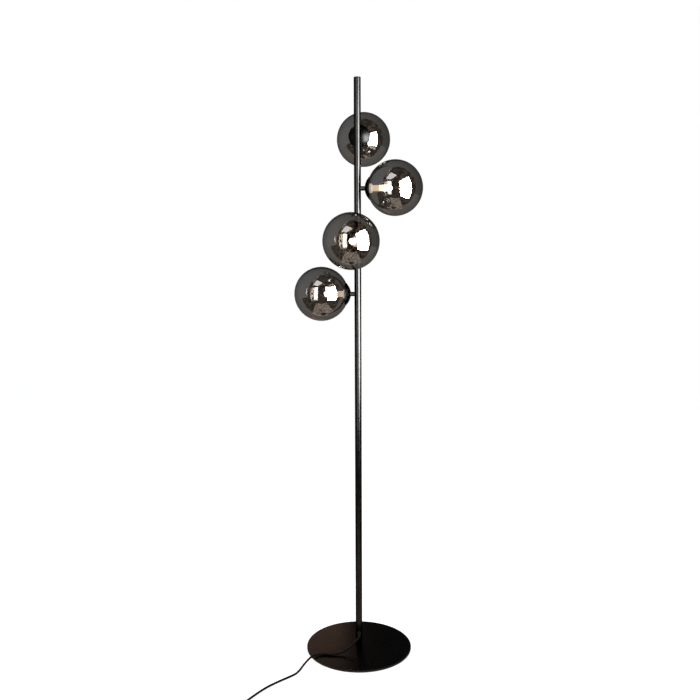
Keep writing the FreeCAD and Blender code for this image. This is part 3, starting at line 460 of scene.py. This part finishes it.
def lathe(name, profile, steps=ROUND_STEPS):
    """A body of revolution about its own +Z, from the (radius, height) points of a closed line."""
    mesh = bmesh.new()
    rings = []
    for radius, height in profile:
        if radius < ON_AXIS:
            rings.append([mesh.verts.new((0, 0, height))])
            continue
        ring = []
        for step in range(steps):
            angle = 2 * math.pi * step / steps
            place = (radius * math.cos(angle), radius * math.sin(angle), height)
            ring.append(mesh.verts.new(place))
        rings.append(ring)
    for low, high in zip(rings, rings[1:] + rings[:1]):
        if len(low) == 1 and len(high) == 1:
            continue
        for step in range(steps):
            after = (step + 1) % steps
            if len(low) == 1:
                mesh.faces.new((low[0], high[step], high[after]))
            elif len(high) == 1:
                mesh.faces.new((low[step], low[after], high[0]))
            else:
                mesh.faces.new((low[step], low[after], high[after], high[step]))
    return finished_mesh(name, mesh)


def facing(outward):
    """The turn that puts a piece's own +Z along a level direction, and its own +Y upwards."""
    return Matrix((UP.cross(outward), UP, outward)).transposed().to_4x4()


def light_place(light):
    """The matrix that puts a piece's own +Z along a light's arm, at the pole's axis."""
    low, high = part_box(f"globe_{light}")
    middle = (low + high) / 2
    outward = Vector((middle.x, middle.y, 0)).normalized()
    return Matrix.Translation((0, 0, middle.z)) @ facing(outward)


def put(obj, matrix, body):
    obj.matrix_world = matrix
    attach(obj, body)
    return obj


# --- lights -------------------------------------------------------------------------------------


def globe_profile():
    """The blown shell: outside, then inside, with a round lip at its neck."""
    inner = GLOBE_RADIUS - GLOBE_WALL
    centre = (0, GLOBE_CENTRE)
    outer_start = -math.degrees(math.acos(NECK_OUTER / GLOBE_RADIUS))
    inner_start = -math.degrees(math.acos(NECK_INNER / inner))
    lip = (NECK_OUTER - NECK_INNER) / 2
    profile = arc((NECK_INNER + lip, NECK_BACK + lip), lip, -180, 0, LIP_STEPS)
    profile += arc(centre, GLOBE_RADIUS, outer_start, 90, GLASS_ARC_STEPS)[:-1]
    profile.append((0, GLOBE_CENTRE + GLOBE_RADIUS))
    profile.append((0, GLOBE_CENTRE + inner))
    profile += arc(centre, inner, 90, inner_start, GLASS_ARC_STEPS)[1:]
    return profile


def cup_profile():
    """The dome, its rolled rim and the spigot that carries the glass."""
    rise = CUP_BACK + math.sqrt(CUP_RADIUS**2 - CUP_FLAT**2)
    inner = CUP_RADIUS - CUP_WALL

    def at(radius, across):
        """The angle at which an arc of a radius is a distance from the axis."""
        return -math.degrees(math.acos(across / radius))

    def across_at(radius, height):
        """The distance from the axis that the arc has at a height."""
        return math.sqrt(radius**2 - (rise - height) ** 2)

    rim_out, rim_in = across_at(CUP_RADIUS, CUP_RIM), across_at(inner, CUP_RIM)
    bead = (rim_out - rim_in) / 2
    profile = [(NIPPLE_RADIUS, CUP_BACK)]
    outside = at(CUP_RADIUS, CUP_FLAT), at(CUP_RADIUS, rim_out)
    profile += arc((0, rise), CUP_RADIUS, *outside, CUP_OUTSIDE_STEPS)[:-1]
    profile += arc((rim_in + bead, CUP_RIM - bead), bead, 0, 180, RIM_STEPS)
    inside = at(inner, rim_in), at(inner, SPIGOT_OUTER)
    profile += arc((0, rise), inner, *inside, CUP_INSIDE_STEPS)[1:]
    profile += [(SPIGOT_OUTER, SPIGOT_FRONT), (SPIGOT_INNER, SPIGOT_FRONT)]
    floor = at(inner, SPIGOT_INNER), at(inner, across_at(inner, CUP_FLOOR))
    profile += arc((0, rise), inner, *floor, CUP_FLOOR_STEPS)
    profile.append((NIPPLE_RADIUS, CUP_FLOOR))
    return profile


def make_chips(name):
    """Rows of light chips round the bulb's stick."""
    mesh = bmesh.new()
    pitch = (CHIP_END - CHIP_START) / CHIP_ROWS
    for row in range(CHIP_ROWS):
        for side in range(CHIP_SIDES):
            angle = 2 * math.pi * side / CHIP_SIDES
            place = (
                Matrix.Rotation(angle, 4, "Z")
                @ Matrix.Translation((STICK_RADIUS, 0, CHIP_START + pitch * (row + 0.5)))
                @ Matrix.Diagonal((CHIP_DEPTH, CHIP_WIDTH, pitch * CHIP_FILL, 1))
            )
            bmesh.ops.create_cube(mesh, size=1, matrix=place)
    bmesh.ops.bevel(mesh, geom=mesh.edges[:], offset=CHIP_EDGE, segments=2, affect="EDGES")
    return finished_mesh(name, mesh)


def make_light(light):
    place = light_place(light)
    globe = lathe(f"globe_glass_{light}", globe_profile(), GLOBE_STEPS)
    put(dress(globe, "glass_smoked"), place, f"glass_{light}")
    globe.data.materials.append(GLASS_INSIDE)
    for polygon in globe.data.polygons:
        from_centre = (polygon.center - Vector((0, 0, GLOBE_CENTRE))).length
        polygon.material_index = int(from_centre < GLOBE_RADIUS - GLOBE_WALL / 2)
    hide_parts(f"globe_{light}")

    cup = lathe(f"cup_dome_{light}", cup_profile())
    put(dress(cup, "coat_black", CUP_COAT), place, ROOT)
    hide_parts(f"cup_{light}")

    chips = make_chips(f"bulb_chips_{light}")
    put(dress(chips, "chip_amber", CHIP_GLOW), place, f"bulb_{light}")


def fit_spring():
    """Give the foot switch's spring a mesh of its own."""
    spring = frame["nodes"]["switch_spring"]
    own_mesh(spring)


# --- cord ---------------------------------------------------------------------------------------


def cord_curve(name, points):
    """A smooth cord whose control points are the route's."""
    curve = bpy.data.curves.new(name, "CURVE")
    curve.dimensions = "3D"
    spline = curve.splines.new("NURBS")
    spline.points.add(len(points) - 1)
    for spot, point in zip(spline.points, points):
        spot.co = (*point, 1)
    spline.order_u = 3
    spline.use_endpoint_u = True
    spline.resolution_u = 8
    curve.bevel_depth = CORD_DIAMETER / 2
    curve.bevel_resolution = 5
    curve.use_fill_caps = True
    return new_piece(name, curve)


def coil_points():
    """The coil's control points: it spirals in, climbs a layer and spirals out again."""
    middle = COIL_TURNS / 2
    inner = COIL_MIDDLE_RADIUS - COIL_PITCH * middle / 2
    full_round = 1 / math.cos(math.pi / COIL_POINTS)
    points = []
    for step in range(COIL_POINTS * COIL_TURNS + 1):
        turns = step / COIL_POINTS
        past = turns - middle
        if abs(past) < COIL_CLIMB / 2:
            radius = inner + COIL_PITCH * (COIL_CLIMB / 4 + past**2 / COIL_CLIMB)
            share = past / COIL_CLIMB + 0.5
            height = COIL_PITCH * share**2 * (3 - 2 * share)
        else:
            radius = inner + COIL_PITCH * abs(past)
            height = COIL_PITCH if past > 0 else 0
        angle = math.radians(COIL_START_ANGLE) + 2 * math.pi * turns
        out = Vector((math.cos(angle), math.sin(angle), 0))
        points.append(COIL_CENTRE + out * radius * full_round + UP * (COIL_FLOOR + height))
    return points


def exit_direction():
    angle = math.radians(EXIT_ANGLE)
    return Vector((math.sin(angle), -math.cos(angle), 0))


def make_strain_relief():
    """The tapered rubber sleeve, with shallow grooves that let it bend."""
    profile = [(0, RELIEF_BACK), (RELIEF_ROOT_RADIUS, RELIEF_BACK)]
    profile.append((RELIEF_ROOT_RADIUS, COLLAR_BACK))
    for height, start in ((COLLAR_BACK + COLLAR_ROUND, -90), (RELIEF_START - COLLAR_ROUND, 0)):
        centre = (COLLAR_RADIUS, height)
        profile += arc(centre, COLLAR_ROUND, start, start + 90, COLLAR_STEPS)
    length = RELIEF_TIP - RELIEF_START
    for groove in range(RELIEF_GROOVES):
        for share, cut in GROOVE_SHAPE:
            along = (groove + share) / RELIEF_GROOVES
            radius = RELIEF_ROOT_RADIUS + (RELIEF_TIP_RADIUS - RELIEF_ROOT_RADIUS) * along
            profile.append((radius - cut * GROOVE_DEPTH, RELIEF_START + length * along))
    profile.append((RELIEF_TIP_RADIUS, RELIEF_TIP - RELIEF_EDGE_LENGTH))
    profile += [(RELIEF_TIP_RADIUS - RELIEF_EDGE, RELIEF_TIP), (0, RELIEF_TIP)]
    relief = lathe("strain_relief_sleeve", profile, RELIEF_STEPS)
    place = Matrix.Translation((0, 0, EXIT_HEIGHT)) @ facing(exit_direction())
    put(dress(relief, "rubber_black"), place, ROOT)
    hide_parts("strain_relief")


def make_cords():
    tip = exit_direction() * RELIEF_TIP + Vector((0, 0, EXIT_HEIGHT))
    run = cord_curve("mains_cord", [tip, *CORD_RUN, SWITCH_IN])
    put(dress(run, "cord_black"), Matrix.Identity(4), ROOT)
    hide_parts("cord_run")
    coil = coil_points()
    rest = cord_curve("mains_cord_coil", [SWITCH_OUT, *CORD_LEAD, *coil, *CORD_TAIL, PLUG_ENTRY])
    put(dress(rest, "cord_black"), Matrix.Identity(4), ROOT)
    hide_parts("cord_lead", "cord_coil", "cord_tail")


# --- studio -------------------------------------------------------------------------------------

FLOOR_SIZE = 9.0
FLOOR_COLOUR = (0.82, 0.82, 0.82, 1)
FLOOR_LIFT = 0.62  # added to the floor that the camera sees, so that it is white
BACKDROP_BEHIND_GLASS = 0.12  # the photograph's backdrop is darker behind the globes
GLASS_PASSES = 32  # clear surfaces in one look, which can pass through several globes

# The floor as reflections see it: a paper strip that runs from the lamp towards the camera, boards
# round it, and a paler floor behind the lamp.
PAPER_HALF_WIDTH = 0.6
PAPER_REACH = 1.3
PAPER_BACK = -0.24
PAPER_EDGE = 0.02  # half the width over which an edge fades
PAPER_BACK_EDGE = 0.05
PAPER_SHADED = (0.55, 0.43, 0.35, 1)
PAPER_LIT = (1.45, 1.24, 1.09, 1)
BOARDS_SHADED = (0.01, 0.005, 0.003, 1)
BOARDS_LIT = (0.26, 0.19, 0.14, 1)
BOARDS_START = -0.05
BOARDS_FULL = 0.12
FLOOR_BEHIND = (0.5, 0.49, 0.47, 1)

# The world as reflections see it: a paper sweep, and a dark, warm room on the camera's side.
SWEEP_LEFT = (0.56, 0.57, 0.58, 1)
SWEEP_RIGHT = (0.22, 0.22, 0.22, 1)
SWEEP_BEHIND = (0.045, 0.044, 0.043, 1)
BEHIND_RISE = 0.25  # how far above the horizon the dark place behind the lamp lies
BEHIND_FULL = -0.95  # cosines from the camera's direction
BEHIND_START = -0.82
ROOM_SHADED = (0.006, 0.002, 0.001, 1)
ROOM_LIT = (0.36, 0.26, 0.18, 1)
ROOM_LEFT = -57  # degrees to the camera's right
ROOM_RIGHT = 92
ROOM_EDGE = 0.01
PLAIN_LIGHT = (0.97, 0.98, 1, 1)  # the even light on the lamp's matt surfaces
PLAIN_STRENGTH = 0.45

# Large soft lamps that reflections don't see.
SOFT_LAMPS = {
    "key_light": {"turn": 41, "reach": 2.2, "height": 2.2, "power": 40},
    "side_light": {"turn": -60, "reach": 2.4, "height": 2.0, "power": 20},
}
SOFT_LAMP_SIZE = 1.4
SOFT_LAMP_AIM = Vector((0, 0, 0.8))

# A card that keeps the panels out of the base's reflections when it is seen from behind.
CARD_HEIGHT = 0.3
CARD_RADII = (0.17, 2.8)
CARD_TURNS = (-80, 105)  # degrees to the camera's right
CARD_STEPS = 24
CARD_GREY = (0.2, 0.195, 0.19, 1)

# The panels that the lamp reflects. Corners are (turn, rise, reach) from the viewpoint: degrees to
# the camera's right and upwards, and the level distance in metres.
VIEWPOINT = Vector((0, -0.1026, 1.1644))  # the middle of the globe nearest the camera
PANEL_ENDS = (0.35, 1.75)  # heights at which a panel has its lower and upper end's share
PANEL_MIDDLE = (0.85, 1.2)  # heights between which it has its full strength
THROUGH_GLASS = 0.33  # share of a panel's strength that is left behind glass
PANELS = {
    "softbox": {
        "corners": [(28, -31.5, 1.3), (77, -29, 0.93), (70, 38.5, 0.9), (18.7, 25.5, 1.3)],
        "strength": 54,
        "end_shares": (0.5, 0.5),
    },
    "strip_box": {
        "corners": [(-32.5, -28, 1.9), (-15.5, -28.5, 1.9), (-15.5, 27, 1.9), (-32.5, 26.5, 1.9)],
        "strength": 8,
    },
    "ceiling_box": {
        "corners": [(-18.5, 32.5, 2.2), (9.5, 47.5, 2.4), (-30, 60, 2.2), (-43.5, 34, 2.3)],
        "strength": 4.2,
    },
    "door_gap": {
        "corners": [(-66, -4, 2.5), (-63.5, -4, 2.5), (-67, 18, 2.5), (-69.5, 18, 2.5)],
        "strength": 6,
    },
    "warm_wall": {
        "corners": [(-178, -50, 0.9), (-150, -50, 0.9), (-150, -37, 0.9), (-178, -37, 0.9)],
        "strength": 1.2,
        "colour": (1.0, 0.62, 0.45, 1),
    },
    "strip_side": {
        "corners": [(-49, -28, 2.0), (-31, -28, 1.9), (-31, 25, 1.9), (-47, 24, 2.0)],
        "strength": 5,
        "colour": (1.0, 0.9, 0.76, 1),
        "patches": 7,
    },
    "rail_1": {
        "corners": [(-52, 42, 2.5), (-50.5, 42, 2.5), (-48, 78, 2.5), (-52, 78, 2.5)],
        "strength": 2.2,
    },
    "rail_2": {
        "corners": [(-45, 50, 2.5), (-43.5, 50, 2.5), (-40, 78, 2.5), (-43, 78, 2.5)],
        "strength": 2.2,
    },
}


def towards(turn):
    """The level direction from the lamp to the camera, turned to the camera's right by degrees."""
    camera = Vector((CAMERA_AT.x, CAMERA_AT.y, 0)).normalized()
    return Matrix.Rotation(math.radians(turn), 3, "Z") @ camera


class Nodes:
    """A short way to build a studio material or world out of nodes."""

    def __init__(self, owner):
        owner.use_nodes = True
        self.tree = owner.node_tree
        self.tree.nodes.clear()

    def add(self, kind, inputs=(), **settings):
        node = self.tree.nodes.new(kind)
        for key, value in settings.items():
            setattr(node, key, value)
        for socket, value in dict(inputs).items():
            if isinstance(value, bpy.types.NodeSocket):
                self.tree.links.new(value, node.inputs[socket])
            else:
                node.inputs[socket].default_value = value
        return node

    def math(self, operation, first, second=0.0):
        return self.add("ShaderNodeMath", {0: first, 1: second}, operation=operation).outputs[0]

    def along(self, vector, direction):
        """How far a vector goes along a direction."""
        inputs = {0: vector, 1: direction}
        return self.add("ShaderNodeVectorMath", inputs, operation="DOT_PRODUCT").outputs["Value"]

    def ramp(self, value, low, high, at_low=0.0, at_high=1.0):
        names = ("Value", "From Min", "From Max", "To Min", "To Max")
        inputs = dict(zip(names, (value, low, high, at_low, at_high)))
        return self.add("ShaderNodeMapRange", inputs).outputs["Result"]

    def noise(self, place, scale, detail):
        inputs = {"Vector": place, "Scale": scale, "Detail": detail}
        return self.add("ShaderNodeTexNoise", inputs).outputs["Fac"]

    def background(self, colour, strength=1.0):
        inputs = {"Color": colour, "Strength": strength}
        return self.add("ShaderNodeBackground", inputs).outputs[0]

    def emission(self, colour, strength=1.0):
        inputs = {"Color": colour, "Strength": strength}
        return self.add("ShaderNodeEmission", inputs).outputs[0]

    def colour(self, factor, first, second):
        inputs = {"Factor": factor, "A": first, "B": second}
        mix = self.add("ShaderNodeMix", data_type="RGBA")
        for name, value in inputs.items():
            socket = [s for s in mix.inputs if s.name == name and s.enabled][0]
            if isinstance(value, bpy.types.NodeSocket):
                self.tree.links.new(value, socket)
            else:
                socket.default_value = value
        return [s for s in mix.outputs if s.enabled][0]

    def shader(self, factor, first, second):
        return self.add("ShaderNodeMixShader", {0: factor, 1: first, 2: second}).outputs[0]

    def seen(self):
        """One for rays from the camera, straight or through glass."""
        path = self.add("ShaderNodeLightPath").outputs
        return self.math("MAXIMUM", path["Is Camera Ray"], path["Is Transmission Ray"])

    def past_glass(self, clear, behind):
        """One value in the open, and another for looks that have passed through glass."""
        passes = self.add("ShaderNodeLightPath").outputs["Transparent Depth"]
        return self.ramp(passes, 0, 1, clear, behind)

    def is_glossy(self):
        return self.add("ShaderNodeLightPath").outputs["Is Glossy Ray"]


def give_studio_material(obj, material):
    """Dress a piece of the studio. Its glow is only found by rays that meet it."""
    material.cycles.emission_sampling = "NONE"
    obj.data.materials.append(material)


def only_reflected(obj):
    for ray in ("camera", "diffuse", "shadow", "transmission", "volume_scatter"):
        setattr(obj, f"visible_{ray}", False)


def make_world():
    world = bpy.data.worlds.new("studio")
    bpy.context.scene.world = world
    nodes = Nodes(world)
    place = nodes.add("ShaderNodeTexCoord").outputs["Generated"]

    side = nodes.ramp(nodes.along(place, towards(90)), -1, 1)
    sweep = nodes.colour(side, SWEEP_LEFT, SWEEP_RIGHT)
    away = (towards(0) - UP * BEHIND_RISE).normalized()
    behind = nodes.ramp(nodes.along(place, away), BEHIND_FULL, BEHIND_START)
    sweep = nodes.colour(behind, SWEEP_BEHIND, sweep)

    lit = nodes.ramp(nodes.noise(place, scale=4.5, detail=5), low=0.49, high=0.61)
    room = nodes.colour(lit, ROOM_SHADED, ROOM_LIT)
    inside = nodes.math(
        "MINIMUM",
        nodes.along(place, towards(ROOM_LEFT + 90)),
        nodes.along(place, towards(ROOM_RIGHT - 90)),
    )
    studio = nodes.colour(nodes.ramp(inside, -ROOM_EDGE, ROOM_EDGE), sweep, room)

    reflected = nodes.background(studio)
    plain = nodes.background(PLAIN_LIGHT, PLAIN_STRENGTH)
    white = nodes.background(WHITE, nodes.past_glass(1, BACKDROP_BEHIND_GLASS))
    unseen = nodes.shader(nodes.is_glossy(), plain, reflected)
    shown = nodes.shader(nodes.seen(), unseen, white)
    nodes.add("ShaderNodeOutputWorld", {"Surface": shown})


def make_floor():
    mesh = bmesh.new()
    bmesh.ops.create_grid(mesh, x_segments=1, y_segments=1, size=FLOOR_SIZE / 2)
    floor = finished_mesh("floor", mesh)
    material = bpy.data.materials.new("studio_floor")
    nodes = Nodes(material)
    place = nodes.add("ShaderNodeTexCoord").outputs["Object"]
    forward = nodes.along(place, towards(0))
    aside = nodes.math("ABSOLUTE", nodes.along(place, towards(90)))
    along_paper = nodes.math(
        "MINIMUM",
        nodes.ramp(forward, PAPER_BACK - PAPER_BACK_EDGE, PAPER_BACK + PAPER_BACK_EDGE),
        nodes.ramp(forward, PAPER_REACH + PAPER_EDGE, PAPER_REACH - PAPER_EDGE),
    )
    across_paper = nodes.ramp(aside, PAPER_HALF_WIDTH + PAPER_EDGE, PAPER_HALF_WIDTH - PAPER_EDGE)
    on_paper = nodes.math("MINIMUM", along_paper, across_paper)
    board_tone = nodes.ramp(nodes.noise(place, scale=2.4, detail=4), low=0.45, high=0.6)
    boards = nodes.colour(board_tone, BOARDS_SHADED, BOARDS_LIT)
    around = nodes.colour(nodes.ramp(forward, BOARDS_START, BOARDS_FULL), FLOOR_BEHIND, boards)
    crease_tone = nodes.ramp(nodes.noise(place, scale=5, detail=3), low=0.4, high=0.6)
    sheet = nodes.colour(crease_tone, PAPER_SHADED, PAPER_LIT)
    reflected = nodes.emission(nodes.colour(on_paper, around, sheet))

    matt = nodes.add("ShaderNodeBsdfDiffuse", {"Color": FLOOR_COLOUR}).outputs[0]
    lift = nodes.emission(WHITE, nodes.math("MULTIPLY", nodes.seen(), FLOOR_LIFT))
    white = nodes.add("ShaderNodeAddShader", {0: matt, 1: lift}).outputs[0]
    shown = nodes.shader(nodes.is_glossy(), white, reflected)
    nodes.add("ShaderNodeOutputMaterial", {"Surface": shown})
    give_studio_material(floor, material)


def make_panel(name, corners, strength, colour=WHITE, patches=0, end_shares=(1, 1)):
    """An upright lit surface that only reflections see, whole or broken into patches.

    Its lower and upper ends can have a smaller share of its strength.
    """
    mesh = bmesh.new()
    spots = []
    for turn, rise, reach in corners:
        up = Vector((0, 0, math.tan(math.radians(rise))))
        spots.append(mesh.verts.new(VIEWPOINT + (towards(turn) + up) * reach))
    mesh.faces.new(spots)
    panel = finished_mesh(name, mesh)
    material = bpy.data.materials.new(name)
    nodes = Nodes(material)
    # Dimmer for looks that pass through glass, which would show it again inside the globes.
    power = nodes.past_glass(strength, strength * THROUGH_GLASS)
    place = nodes.add("ShaderNodeTexCoord").outputs["Object"]
    height = nodes.along(place, UP)
    for start, full, share in zip(PANEL_ENDS, PANEL_MIDDLE, end_shares):
        power = nodes.math("MULTIPLY", power, nodes.ramp(height, start, full, share, 1))
    if patches:
        cells = nodes.noise(place, scale=patches, detail=2)
        power = nodes.math("MULTIPLY", power, nodes.ramp(cells, low=0.47, high=0.53))
    nodes.add("ShaderNodeOutputMaterial", {"Surface": nodes.emission(colour, power)})
    give_studio_material(panel, material)
    only_reflected(panel)


def make_card():
    """A grey card that the base reflects in place of the panels. From above it is clear."""
    mesh = bmesh.new()
    first, last = CARD_TURNS
    rims = []
    for radius in CARD_RADII:
        rim = []
        for step in range(CARD_STEPS + 1):
            out = towards(first + (last - first) * step / CARD_STEPS) * radius
            rim.append(mesh.verts.new(out + UP * CARD_HEIGHT))
        rims.append(rim)
    inner, outer = rims
    for step in range(CARD_STEPS):
        mesh.faces.new((inner[step], inner[step + 1], outer[step + 1], outer[step]))
    card = finished_mesh("base_card", mesh)
    if card.data.polygons[0].normal.z > 0:
        card.data.flip_normals()
    material = bpy.data.materials.new("base_card")
    nodes = Nodes(material)
    clear = nodes.add("ShaderNodeBsdfTransparent").outputs[0]
    from_above = nodes.add("ShaderNodeNewGeometry").outputs["Backfacing"]
    shown = nodes.shader(from_above, nodes.emission(CARD_GREY), clear)
    nodes.add("ShaderNodeOutputMaterial", {"Surface": shown})
    give_studio_material(card, material)
    only_reflected(card)


def make_soft_lamp(name, turn, reach, height, power):
    light = bpy.data.lights.new(name, "AREA")
    light.shape = "RECTANGLE"
    light.size = light.size_y = SOFT_LAMP_SIZE
    light.energy = power
    obj = bpy.data.objects.new(name, light)
    bpy.context.scene.collection.objects.link(obj)
    place = towards(turn) * reach + UP * height
    aim = (SOFT_LAMP_AIM - place).to_track_quat("-Z", "Y")
    obj.matrix_world = Matrix.Translation(place) @ aim.to_matrix().to_4x4()
    obj.visible_glossy = False
    obj.visible_transmission = False


def make_camera():
    data = bpy.data.cameras.new("camera")
    data.lens = CAMERA_LENS
    data.sensor_width = CAMERA_SENSOR
    camera = bpy.data.objects.new("camera", data)
    bpy.context.scene.collection.objects.link(camera)
    turn = Matrix.Rotation(math.radians(CAMERA_TURN), 4, "Z")
    tilt = Matrix.Rotation(math.radians(90 - CAMERA_TILT), 4, "X")
    roll = Matrix.Rotation(math.radians(CAMERA_ROLL), 4, "Z")
    camera.matrix_world = Matrix.Translation(CAMERA_AT) @ turn @ tilt @ roll
    bpy.context.scene.camera = camera


def make_studio():
    scene = bpy.context.scene
    scene.view_settings.view_transform = "Standard"
    scene.cycles.transparent_max_bounces = GLASS_PASSES
    make_world()
    make_floor()
    for name, panel in PANELS.items():
        make_panel(name, **panel)
    make_card()
    for name, lamp in SOFT_LAMPS.items():
        make_soft_lamp(name, **lamp)
    make_camera()


# --- the lamp -----------------------------------------------------------------------------------


def dress_frame():
    """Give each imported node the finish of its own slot."""
    for part in frame["record"]["subparts"]:
        node = frame["nodes"][part["node"]]
        slot = part["material_slot"]
        node.data.materials.clear()
        node.data.materials.append(MATERIALS[slot])
    frame["nodes"]["base_plate"].data.materials[0] = BASE_COAT
    for name in ("pole_lower", "pole_middle", "pole_upper"):
        frame["nodes"][name].data.materials[0] = POLE_COAT


dress_frame()
make_cords()
make_strain_relief()
for light in LIGHTS:
    make_light(light)
fit_spring()
make_studio()
